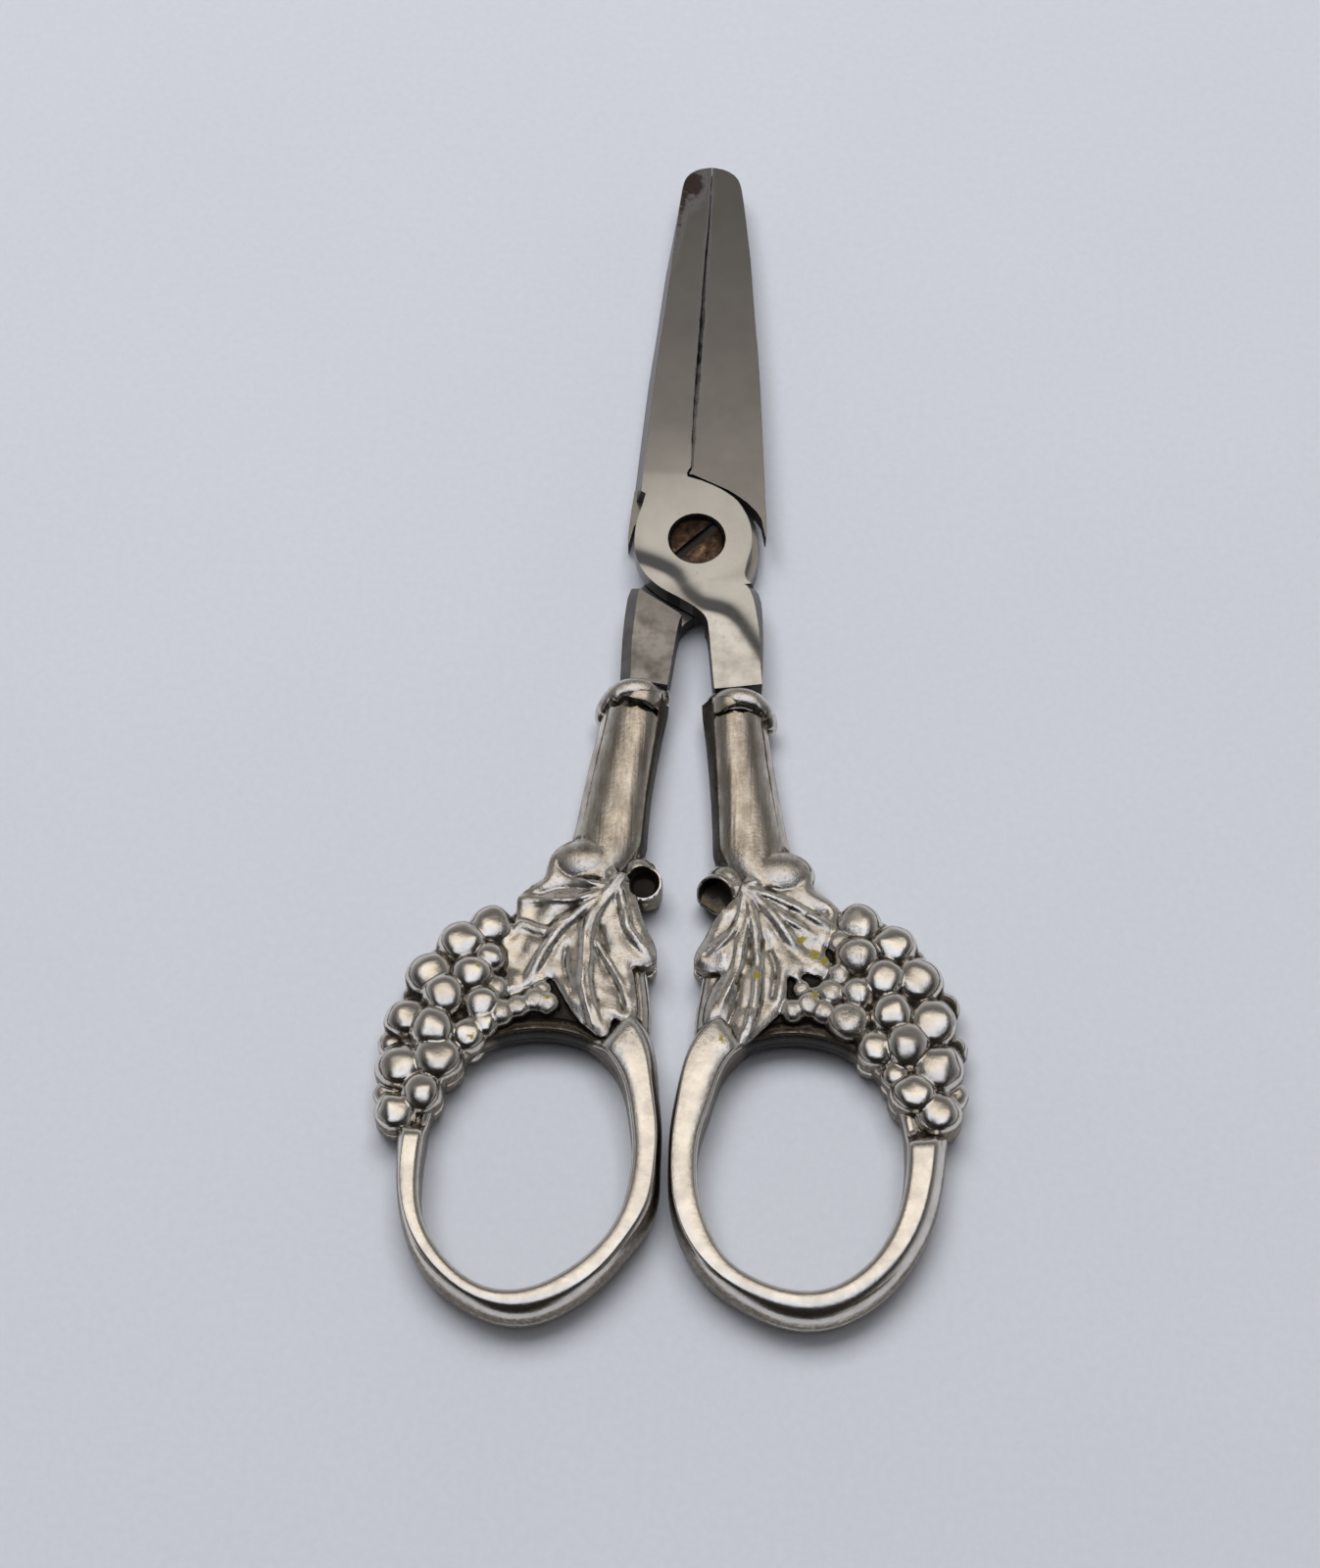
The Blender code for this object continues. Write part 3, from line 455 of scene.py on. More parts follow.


# %% [markdown]
# ## Nickel-plated steel
# The blades are hardened steel, ground flat and nickel-plated, and their faces have gone
# slightly matt: the eye sees a soft grey mirror with fine grinding marks along the blade. The
# disc and the shank are polished brighter. Brown spots sit in the seam and near the tip, and
# the upright walls get a dark scale with painted shade on top of it, near black and hardly
# metallic. The Bevel node gives every ground edge a thin highlight.

# %% Plated steel
def plated_steel():
    material, node, finish = new_material("satin_nickel_plated_steel")
    polish, stain, wall, mottle = (node("Attribute", out="Fac", attribute_name=name)
                                   for name in ("polish", "stain", "wall", "mottle"))
    place = node("TexCoord", out="Object")
    ground = node("Mapping", {"Vector": place, "Scale": (1.0, 0.05, 1.0)})
    cloud, speck, blotch, bloom, marks = (
        node("TexNoise", {"Vector": where, "Scale": 1.0 / (size * MM), "Detail": detail, **NOISE})
        for where, size, detail in ((place, 5.0, 4.0), (place, 0.35, 2.0), (place, 2.8, 5.0),
                                    (place, 0.8, 4.0), (ground, 0.30, 2.0)))
    patches = node("ValToRGB", (blotch,), stops=(
        (0.32, "#858382"), (0.46, "#d2cfca"), (0.58, "#ffffff")))
    spots = node("ValToRGB", (speck,), stops=(
        (0.0, "#4a3a2e"), (0.24, "#6b5a4a"), (0.29, "#ffffff"), (1.0, "#ffffff")))
    patchy = node("Math", (mottle, 0.85), operation="MULTIPLY")
    bloom = node("MapRange", (bloom, 0.35, 0.65, 0.8, 1.25))
    bloom = node("Math", (stain, bloom), operation="MULTIPLY")
    rusty = node("MapRange", (bloom, 0.12, 0.85), **SMOOTH)
    satin, rust, scale_and_shade_tone = (
        node("Mix", {FACTOR: share, FIRST: first, SECOND: second}, **BLEND)
        for share, first, second in ((cloud, "#aeadad", "#9e9d9d"), (speck, "#1a1513", "#3f2e26"),
                                     (cloud, "#221b16", "#3b2f26")))
    # Upright walls: dark scale with painted shade on top
    scale_and_shade_share = node("Math", (wall, 0.93), operation="MULTIPLY")
    tone = satin
    for share, shade, way in ((polish, "#cccecf", BLEND), (patchy, patches, MULTIPLY),
                              (0.5, spots, MULTIPLY), (rusty, rust, BLEND), (scale_and_shade_share, scale_and_shade_tone, BLEND)):
        tone = node("Mix", {FACTOR: share, FIRST: tone, SECOND: shade}, **way)
    rust_scale_and_shade = node("Math", (rusty, wall), operation="MAXIMUM")
    even = node("MapRange", (cloud, 0.0, 1.0, 0.22, 0.29))
    glaze = node("MapRange", (polish, 0.0, 1.0, even, 0.16))
    dry = node("Math", (rust_scale_and_shade, 0.5), operation="MULTIPLY")
    soft_edge = node("Bevel", {"Radius": 0.10 * MM})
    finish({"Base Color": tone, "Metallic": node("MapRange", (rust_scale_and_shade, 0.0, 1.0, 1.0, 0.25)),
            "Roughness": node("Math", (glaze, dry), operation="MAXIMUM"),
            "Normal": node("Bump", {"Height": marks, "Distance": 0.0015 * MM,
                                    "Normal": soft_edge})})
    return material


# %% [markdown]
# ## Screw and cement
# The screw was turned and never plated, so its head has browned and shows bright only where
# it is rubbed. The steel's ends are set in the hollow stems with a dark, gritty cement.

# %% Browned screw steel
def browned_steel():
    material, node, finish = new_material("browned_turned_steel")
    wall = node("Attribute", out="Fac", attribute_name="wall")
    cloud = node("TexNoise", {"Vector": node("TexCoord", out="Object"), "Scale": 1.0 / (0.9 * MM),
                              "Detail": 4.0, **NOISE})
    skin = node("ValToRGB", (cloud,), stops=(
        (0.30, "#2a201b"), (0.50, "#55443a"), (0.62, "#6f594a"), (0.74, "#c79f70")))
    soft_edge = node("Bevel", {"Radius": 0.12 * MM})
    # Upright faces and everything below the head's top are painted near black: painted shade in the
    # slot and the recess
    finish({"Base Color": node("Mix", {FACTOR: wall, FIRST: skin, SECOND: "#0b0807"}, **BLEND),
            "Metallic": node("MapRange", (wall, 0.0, 1.0, 1.0, 0.0)),
            "Roughness": node("MapRange", (cloud, 0.0, 1.0, 0.45, 0.28)),
            "Normal": node("Bump", {"Height": cloud, "Distance": 0.010 * MM,
                                    "Normal": soft_edge})})
    return material


# %% Setting cement
def setting_cement():
    material, node, finish = new_material("dark_setting_cement")
    grit = node("TexNoise", {"Vector": node("TexCoord", out="Object"), "Scale": 1.0 / (0.3 * MM),
                             "Detail": 4.0, **NOISE})
    finish({"Base Color": node("Mix", {FACTOR: grit, FIRST: "#1f1a15", SECOND: "#4a4238"}, **BLEND),
            "Roughness": 0.9, "Normal": node("Bump", {"Height": grit, "Distance": 0.08 * MM})})
    return material


silver = silver_plate()
steel = plated_steel()
screw_steel = browned_steel()
cement = setting_cement()
print("materials:", [m.name for m in (silver, steel, screw_steel, cement)])

# %% [markdown]
# ## The finger bow
# A bow is an oval ring whose top is ground flat and polished. Its outer side is rounded, its
# inner wall is upright with a softened edge. The section changes round the ring, and the flat
# ends where the ring dives under leaf and grapes. A torus can't do that, so the ring is lofted:
# one loop per line of the section, from measured ovals.

# %% Measured ovals of both bows, in mm. "shown" says between which angles the flat is seen
RIGHT_BOW = {
    "middle": (14.3, -58.0), "shown": (117.5, 374.0),
    "inner": ((6.1, -45.2), (4.7, -48.1), (3.6, -51.4), (2.7, -54.6), (2.25, -58.2), (2.5, -61.8),
              (3.3, -65.0), (4.6, -67.9), (6.6, -70.4), (9.6, -72.3), (12.4, -73.2), (15.3, -73.4),
              (18.0, -72.9), (20.6, -71.3), (22.9, -69.0), (24.8, -65.7), (25.9, -62.0),
              (26.4, -58.0), (26.2, -54.0), (25.1, -50.0), (22.8, -46.4), (19.3, -43.8),
              (15.0, -42.6), (10.5, -42.8)),
    "outer": ((2.4, -44.2), (1.3, -47.4), (0.6, -51.2), (0.15, -55.0), (0.0, -58.4), (0.15, -61.8),
              (0.85, -65.0), (2.1, -68.2), (4.4, -71.0), (7.2, -72.9), (10.6, -74.3), (14.9, -74.9),
              (18.0, -74.4), (21.4, -72.7), (24.6, -69.7), (26.7, -66.2), (27.9, -62.2),
              (28.5, -58.2), (28.7, -54.4), (28.0, -49.0), (25.5, -44.0), (20.5, -40.6),
              (14.5, -39.8), (7.0, -40.8)),
    "bulge": ((1.7, -43.6), (0.7, -47.4), (-0.1, -51.2), (-0.4, -55.0), (-0.45, -58.4),
              (-0.25, -61.8), (0.4, -65.0), (1.8, -68.4), (4.4, -71.9), (7.6, -74.2), (11.2, -76.0),
              (15.3, -76.7), (19.0, -76.0), (22.8, -73.7), (26.0, -70.3), (28.3, -66.2),
              (29.7, -62.0), (30.2, -58.0), (30.6, -54.0), (29.8, -48.0), (27.0, -43.0),
              (21.5, -39.6), (14.5, -38.6), (6.0, -39.6)),
}
LEFT_BOW = {
    "middle": (16.0, -58.8), "shown": (119.0, 374.0),
    "inner": ((7.4, -45.8), (5.6, -48.6), (4.7, -51.8), (4.1, -55.2), (3.9, -58.2), (4.1, -61.2),
              (4.8, -64.2), (6.0, -67.0), (7.9, -69.5), (10.6, -71.9), (14.0, -73.9), (17.0, -74.5),
              (19.8, -74.3), (22.6, -72.8), (25.2, -70.3), (27.1, -67.3), (28.0, -64.0),
              (28.2, -61.0), (28.0, -57.0), (27.0, -52.0), (24.6, -47.2), (20.6, -44.2),
              (15.8, -43.1), (11.0, -43.6)),
    "outer": ((4.7, -43.6), (3.4, -47.6), (2.6, -50.8), (2.15, -54.6), (2.0, -58.0), (2.25, -61.0),
              (2.9, -64.0), (4.1, -66.8), (6.2, -70.2), (8.7, -73.0), (12.2, -75.0), (16.3, -75.9),
              (19.6, -75.7), (22.6, -74.2), (25.8, -71.6), (28.2, -68.0), (29.4, -64.4),
              (29.8, -60.4), (29.5, -56.6), (28.6, -50.4), (26.0, -45.0), (21.0, -41.2),
              (15.0, -40.2), (8.0, -41.0)),
    "bulge": ((3.0, -43.0), (2.1, -47.6), (1.5, -51.2), (1.25, -55.0), (1.2, -58.4), (1.25, -62.4),
              (2.0, -65.4), (4.3, -69.0), (6.9, -72.3), (9.7, -74.8), (13.2, -76.8), (16.6, -77.4),
              (20.4, -76.5), (24.0, -74.5), (26.6, -72.0), (28.4, -69.2), (29.7, -65.4),
              (30.3, -61.6), (30.6, -57.0), (30.2, -50.0), (27.6, -44.4), (22.0, -40.4),
              (15.0, -39.2), (7.0, -39.8)),
}
BOW_TOP = 3.1        # ground face above the middle plane
LEDGE_TOP = 1.7      # the ring where leaf and grapes lie over it
TRENCH = 1.1         # how far it falls away behind its inner edge there
BOW_COUNT = 160      # points round a bow
KEPT_WAVES = 11      # the measured oval keeps this many waves, which takes out small errors
WALL_INSET = 0.55    # the upright wall stands this far inside the ground face
WALL_DROP = 0.95     # where the rounding between wall and ground face starts


# %% Loft a bow
def around(points, middle):
    """A smoothed closed curve, with its points at equal angles about the middle."""
    line = smooth_line(points, 720, closed=True) - middle
    angles = np.arctan2(line[:, 1], line[:, 0])
    order = np.argsort(angles)
    reach = np.hypot(line[:, 0], line[:, 1])[order]
    wanted = np.linspace(-math.pi, math.pi, BOW_COUNT, endpoint=False)
    waves = np.fft.rfft(np.interp(wanted, angles[order], reach, period=2 * math.pi))
    waves[KEPT_WAVES:] = 0.0
    radii = np.fft.irfft(waves, BOW_COUNT)
    return middle + np.column_stack([np.cos(wanted), np.sin(wanted)]) * radii[:, None]


def make_bow(shape):
    middle = np.array(shape["middle"])
    inner, outer, bulge = (around(shape[key], middle) for key in ("inner", "outer", "bulge"))
    angles = np.linspace(-180.0, 180.0, BOW_COUNT, endpoint=False) % 360.0
    first, last = shape["shown"]
    turned = np.where(angles < (first + last - 360.0) / 2, angles + 360.0, angles)
    share = np.clip(np.minimum(turned - first, last - turned) / 9.0 + 0.5, 0.0, 1.0)
    share = share * share * (3 - 2 * share)
    top = LEDGE_TOP + (BOW_TOP - LEDGE_TOP) * share
    trench = TRENCH * (1.0 - share)
    low = np.clip(-np.sin(np.radians(angles)), 0.0, 1.0) ** 2
    beside = np.clip(np.cos(np.radians(angles + 25.0)), 0.0, 1.0)
    wide = outer - inner
    outer = outer - wide * (0.36 * low)[:, None]
    flat = inner + wide * (0.20 * np.maximum(beside, 0.5 * low))[:, None]
    inward = inner - middle
    inward /= np.linalg.norm(inward, axis=1)[:, None]
    rows = [at_height(inner - inward * WALL_INSET, UNDER)]
    for cos, sin in map(cos_sin, (0.0, 25.0, 50.0, 70.0)):
        rows.append(at_height(inner - inward * WALL_INSET * cos, top - WALL_DROP + 0.88 * sin))
    rows += [at_height(flat, top), at_height(flat * 0.5 + outer * 0.5, top - 0.5 * trench)]
    for cos, sin in map(cos_sin, (0.0, 8.0, 20.0, 34.0, 48.0, 62.0, 76.0, 90.0)):
        rows.append(at_height(outer + (bulge - outer) * sin, (top - trench) * cos))
    return loft([*rows, at_height(bulge, UNDER), rows[0]], caps=False)


# %% [markdown]
# ## The stem
# The stem is a hollow tube, nearly flat on its inner side and round on top. It is lofted from
# its mouth to the leaf, and a smaller loft is cut out of its mouth. The steel's tang and the
# cement sit in the hollow. An old crack runs across each stem just behind the mouth.

# %% Measured stems, in mm: along the tool, inner side, upper inner edge, outer side
RIGHT_STEM = ((-0.3, 1.35, 2.65, 8.75), (-2.1, 1.5, 2.75, 9.05), (-5.0, 1.95, 3.0, 9.6),
              (-9.0, 2.45, 3.35, 10.2), (-13.0, 2.85, 3.7, 10.95), (-17.0, 3.15, 4.0, 11.75),
              (-20.0, 3.3, 4.2, 12.5), (-22.5, 4.0, 5.2, 13.2), (-25.0, 6.4, 7.6, 13.4))
LEFT_STEM = ((0.1, 2.5, 3.5, 10.1), (-1.7, 2.55, 3.7, 10.4), (-5.0, 3.1, 3.9, 10.9),
             (-9.0, 3.65, 4.35, 11.6), (-13.0, 4.1, 4.75, 12.2), (-17.0, 4.3, 5.0, 12.75),
             (-20.0, 4.35, 5.15, 13.4), (-22.0, 5.0, 6.0, 14.0), (-24.5, 7.0, 8.0, 14.4))
RIGHT_CRACK = ((2.9, -2.0), (3.8, -1.75), (4.5, -1.4), (5.2, -1.2), (6.0, -0.85), (6.6, -1.1),
               (7.4, -1.1), (8.9, -1.5), (9.1, -1.95), (8.0, -1.9), (6.9, -1.75), (6.1, -1.95),
               (5.2, -1.8), (4.3, -2.1), (3.4, -2.25))
LEFT_CRACK = ((3.7, -1.6), (4.6, -1.3), (5.5, -1.0), (6.4, -0.95), (7.2, -0.75), (8.3, -0.5),
              (9.4, -0.7), (9.5, -1.3), (8.9, -1.55), (8.0, -1.4), (7.1, -1.75), (6.2, -1.6),
              (5.3, -2.0), (4.4, -1.95), (3.8, -2.25))
STEM_TOP = 2.95
STEM_WALL = 0.8
STEM_COUNT = 26      # rings along a stem
BORE_COUNT = 5       # how many of them its hollow takes in
CRACK_WIDEN = 0.5
CRACK_SHIFT = -0.45


# %% Loft a stem
def stem_section(inner, edge, outer, inset):
    lift = STEM_TOP - inset
    inner, edge, outer = inner + inset, edge + inset * 0.6, outer - inset
    peak = edge + (outer - edge) * 0.36
    points = [(inner, UNDER), (inner, 0.0), (inner + 0.3 * (edge - inner), 0.75 * lift / STEM_TOP),
              (edge - 0.25, 0.62 * lift), (edge, 0.73 * lift)]
    for share in (0.25, 0.5, 0.75):
        points.append((edge + (peak - edge) * share, lift * (0.73 + 0.27 * (1 - (1 - share) ** 2))))
    for cos, sin in map(cos_sin, range(0, 91, 9)):
        points.append((peak + (outer - peak) * sin, lift * cos))
    return points + [(outer, UNDER)]


def make_stem(stations, crack):
    lines = np.array(stations)
    along = np.linspace(lines[0, 0], lines[-1, 0], STEM_COUNT)
    sides = [np.interp(-along, -lines[:, 0], lines[:, k]) for k in (1, 2, 3)]

    def rows(inset, places, shift=0.0):
        return [[(x, along[k] + shift, z)
                 for x, z in stem_section(*(side[k] for side in sides), inset)] for k in places]

    bore = loft(rows(STEM_WALL, [0], 1.0) + rows(STEM_WALL, range(BORE_COUNT)))
    stem = combine(loft(rows(0.0, range(STEM_COUNT))), bore, "DIFFERENCE")
    tear = np.array(crack)
    tear[:, 1] += CRACK_WIDEN * (tear[:, 1] - tear[:, 1].mean()) + CRACK_SHIFT
    return combine(stem, loft([at_height(tear, 0.6), at_height(tear, 5.0)]), "DIFFERENCE")


# %% [markdown]
# ## The vine leaf
# The leaf is chased relief: a raised rim, ribs that spread from the stalk, creases beside them
# and dished lobes. By hand this is sculpting, which needs a window. Here a fine grid is laid
# under the leaf and each of its points is lifted by what lies near it, the rim, a rib or a
# crease. The outline is an extruded plate, and a Boolean keeps what both share.

# %% Measured leaves, in mm. A rib has its line, height, width and a crease on one side
RIGHT_LEAF = {
    "outline": ((6.5, -25.9), (6.7, -24.8), (7.45, -23.4), (8.3, -21.8), (9.4, -20.7), (10.8, -20.1),
                (12.3, -20.3), (13.9, -21.6), (14.8, -23.2), (14.9, -24.5), (15.9, -25.3),
                (17.2, -26.2), (18.1, -27.3), (18.3, -28.9), (19.1, -30.8), (18.0, -31.5),
                (16.7, -32.1), (16.55, -32.9), (17.2, -33.8), (17.6, -34.9), (17.1, -36.0),
                (15.8, -35.7), (14.2, -35.4), (13.55, -36.4), (12.3, -35.9), (12.25, -38.0),
                (11.8, -39.9), (10.65, -41.4), (9.3, -42.9), (8.0, -44.2), (7.0, -44.7),
                (6.5, -43.9), (6.1, -42.5), (4.9, -41.8), (3.6, -42.0), (3.05, -42.2), (3.0, -40.6),
                (3.3, -38.9), (3.9, -37.3), (4.8, -35.8), (3.4, -35.8), (2.0, -35.1), (1.6, -34.4),
                (1.75, -33.1), (2.55, -31.6), (3.2, -30.2), (4.1, -28.7), (5.3, -27.2)),
    "ribs": ((((6.7, -25.3), (9.6, -27.7), (12.1, -31.0), (14.3, -33.4)), 0.75, 0.34, -0.75),
             (((6.6, -25.2), (7.6, -26.9), (8.3, -29.5), (8.8, -33.2), (8.9, -37.8), (8.3, -41.5),
               (7.3, -44.3)), 0.80, 0.36, 0.55),
             (((7.3, -25.4), (11.3, -26.5), (15.3, -28.6), (17.9, -30.0)), 0.55, 0.32, 0.45),
             (((9.6, -27.0), (11.7, -28.8), (13.9, -30.0), (15.3, -30.9)), 0.35, 0.24, -0.25),
             (((7.1, -25.8), (6.9, -28.6), (6.1, -30.5), (4.4, -32.4), (2.1, -34.0)),
              0.50, 0.34, 0.50),
             (((7.4, -27.8), (6.8, -32.4), (6.4, -35.2), (5.3, -38.0), (3.9, -41.5)),
              0.50, 0.40, -0.60),
             (((7.2, -25.2), (8.6, -24.6), (10.2, -24.9), (12.2, -24.9)), 0.45, 0.30, -0.70)),
    "valleys": (((5.9, -29.8), (4.8, -31.8), (3.0, -33.6)),
                ((10.2, -33.0), (10.9, -35.2), (10.6, -38.6)),
                ((12.6, -27.6), (14.2, -28.0), (16.4, -27.6)),
                ((6.9, -36.0), (6.6, -39.4), (5.6, -42.4))),
    "foot": (7.2, -25.6), "lobe": (10.9, -22.5, 3.2),
}
LEFT_LEAF = {
    "outline": ((7.5, -23.9), (7.95, -22.9), (9.1, -21.2), (10.4, -19.5), (12.3, -19.4),
                (13.95, -20.2), (15.2, -21.4), (15.65, -22.95), (16.0, -24.5), (17.0, -25.1),
                (18.45, -26.5), (19.0, -27.6), (18.85, -28.8), (19.1, -30.3), (20.5, -31.5),
                (21.05, -33.0), (20.9, -34.3), (19.95, -35.6), (19.6, -37.0), (19.9, -38.7),
                (19.4, -39.3), (17.9, -39.0), (16.1, -38.0), (14.6, -37.0), (13.5, -38.5),
                (12.4, -40.4), (11.1, -42.2), (9.9, -43.2), (8.7, -44.1), (7.7, -43.9),
                (7.25, -41.9), (6.2, -42.4), (4.85, -42.8), (4.6, -40.1), (4.85, -38.3),
                (5.1, -36.5), (5.25, -35.4), (3.3, -35.3), (2.65, -34.5), (2.8, -32.7), (3.8, -30.8),
                (4.6, -28.8), (5.3, -26.6), (5.9, -25.2), (6.5, -24.2)),
    "ribs": ((((6.8, -24.4), (8.0, -26.0), (9.4, -28.0), (10.5, -30.8), (10.6, -34.9),
               (10.5, -38.2), (9.3, -42.2), (8.7, -44.0)), 0.85, 0.48, -0.70),
             (((9.1, -27.0), (12.1, -29.4), (14.4, -32.1), (16.2, -35.5), (17.3, -37.8)),
              0.60, 0.34, -0.60),
             (((8.8, -26.0), (11.4, -27.1), (14.6, -27.4), (18.6, -27.3)), 0.50, 0.34, 0.50),
             (((8.9, -25.6), (11.0, -25.0), (12.4, -23.3), (14.9, -21.9)), 0.45, 0.34, 0.50),
             (((7.3, -26.0), (6.6, -28.4), (6.1, -30.8), (4.6, -32.8), (3.0, -34.2)),
              0.55, 0.32, 0.45),
             (((9.6, -32.6), (7.9, -35.4), (6.6, -37.7), (5.7, -39.9)), 0.15, 0.24, 0.80),
             (((13.1, -30.1), (15.4, -31.4), (18.4, -30.5), (20.0, -31.9)), 0.25, 0.34, -0.35)),
    "valleys": (((9.2, -30.6), (8.2, -34.6), (6.9, -38.0), (6.2, -40.8)),
                ((12.0, -28.2), (14.2, -29.4), (15.4, -31.6)),
                ((10.8, -26.2), (13.4, -25.8), (16.4, -26.6)),
                ((13.0, -33.4), (13.0, -35.6), (12.0, -38.8))),
    "foot": (8.3, -26.0), "lobe": (11.5, -21.9, 3.3),
}
LEAF_GRID = 0.20
LEAF_TOP = 2.60      # ground of the leaf above the middle plane
LEAF_THICK = 1.45
LEAF_MARGIN = 0.4    # how far the grid reaches past the outline


# %% Distances to a line of points
def to_line(places, line, closed=False):
    """Distance to the nearest part of the line, and on which side of it a place lies."""
    ends = np.array(line, float)
    starts = ends if closed else ends[:-1]
    stops = np.roll(ends, -1, axis=0) if closed else ends[1:]
    best = np.full(len(places), 1e9)
    side = np.zeros(len(places))
    for a, b in zip(starts, stops):
        way = b - a
        share = np.clip(((places - a) @ way) / (way @ way), 0.0, 1.0)
        gap = places - a - share[:, None] * way
        reach = np.hypot(gap[:, 0], gap[:, 1])
        nearer = reach < best
        best = np.where(nearer, reach, best)
        side = np.where(nearer, np.sign(way[0] * gap[:, 1] - way[1] * gap[:, 0]), side)
    return best, side


def grid_of(height_of, low, high, step):
    """A fine grid whose points are lifted to the height that a function gives them."""
    deselect()
    cells = [int((b - a) / step) for a, b in zip(low, high)]
    bpy.ops.mesh.primitive_grid_add(x_subdivisions=cells[0], y_subdivisions=cells[1], size=2.0)
    grid = bpy.context.object
    places = (points_of(grid)[:, :2] + 1.0) / 2 * (np.array(high) - low) + low
    set_points(grid, at_height(places, height_of(places)))
    return grid


# %% Lift the grid into a leaf
def leaf_height(places, leaf, seed):
    rim, _ = to_line(places, leaf["outline"], closed=True)
    foot = np.linalg.norm(places - np.array(leaf["foot"]), axis=1)
    height = LEAF_TOP + 0.30 * hump(foot, 6.0) - 0.09 * np.clip(places[:, 0] - 12.0, 0.0, 9.0)
    height -= 0.12 * np.clip(5.0 - places[:, 0], 0.0, 5.0) ** 1.3
    valley = np.zeros(len(places))
    ribs = np.zeros(len(places))
    for line, height_mm, width, crease in leaf["ribs"]:
        reach, side = to_line(places, smooth_line(line, 14))
        tip = np.linalg.norm(places - np.array(line[-1]), axis=1)
        fade = np.clip(tip / 3.0, 0.25, 1.0)
        crest = np.minimum(1.0, 1.5 * hump(reach, 1.35 * width))
        ribs = np.maximum(ribs, (0.32 + 0.40 * height_mm) * crest * fade)
        steep = 0.72 + 0.28 * np.tanh(reach * np.sign(side * crease) / 0.45)
        valley = np.maximum(valley, (0.20 + 0.45 * abs(crease)) * steep * hump(reach, 0.85) * fade)
    for line in leaf["valleys"]:
        reach, _ = to_line(places, smooth_line(line, 14))
        valley = np.maximum(valley, 0.26 * hump(reach, 0.30) + 0.14 * hump(reach, 1.0))
    valley = np.maximum(valley, 0.30 * hump(rim, 0.6))
    x, y, size = leaf["lobe"]
    dome = np.clip(1.0 - np.hypot(places[:, 0] - x, places[:, 1] - y) / size, 0.0, 1.0)
    height += (ribs - 0.85 * valley) * (1.0 - np.clip(dome * 3.0, 0.0, 1.0))
    height -= np.clip(dome * 2.0, 0.0, 0.9)
    return height + 0.15 * ripple(places, 4.6, seed + 2) + 0.06 * ripple(places, 2.2, seed)


def make_leaf(leaf, seed):
    outline = np.array(leaf["outline"])
    relief = grid_of(lambda places: leaf_height(places, leaf, seed),
                     outline.min(axis=0) - LEAF_MARGIN, outline.max(axis=0) + LEAF_MARGIN, LEAF_GRID)
    add_modifier(relief, "SOLIDIFY", thickness=LEAF_THICK, offset=-1.0)
    smooth = smooth_line(outline, 3 * len(outline), closed=True)
    return combine(relief, loft([at_height(smooth, -0.5), at_height(smooth, 4.5)]), "INTERSECT")


# %% [markdown]
# ## The grapes
# A grape is a ball that sinks into the casting, with its top worn a little flat. One ball is
# modelled, and each grape is a copy with its own mesh, moved and sized. Under them lies a low
# web of metal.

# %% Measured grapes, in mm: across, along, radius, height of the middle
RIGHT_GRAPES = (
    (20.3, -28.9, 2.05, 0.6), (24.2, -31.6, 2.25, 0.5), (20.2, -33.2, 2.0, 1.2),
    (27.0, -35.8, 2.4, 0.5), (23.2, -36.0, 2.05, 1.2), (20.3, -37.7, 1.7, 1.3),
    (17.2, -37.7, 1.5, 1.0), (24.1, -40.1, 2.15, 1.1), (28.6, -41.0, 2.45, 0.6),
    (19.3, -41.2, 1.95, 1.1), (22.4, -44.3, 1.85, 1.1), (25.8, -43.9, 2.25, 1.1),
    (29.3, -46.4, 2.5, 0.6), (24.6, -47.3, 1.4, 1.0), (26.6, -49.7, 2.1, 1.1),
    (29.5, -51.8, 2.05, 0.9), (14.7, -39.3, 1.25, 1.5), (13.0, -40.1, 1.1, 1.4),
    (16.4, -40.0, 1.2, 1.4), (18.2, -35.4, 1.2, 1.2), (13.9, -37.4, 1.0, 1.2),
    (15.6, -38.0, 1.0, 1.1), (23.0, -33.9, 1.4, 0.3), (25.6, -38.4, 1.6, 0.3),
    (21.6, -42.1, 1.4, 0.2), (30.0, -38.4, 1.6, -0.3), (31.0, -43.6, 1.5, -0.3),
    (31.0, -49.2, 1.5, -0.3), (22.7, -29.6, 1.4, -0.3), (26.2, -33.0, 1.5, -0.3),
    (18.2, -31.4, 1.25, 1.1))
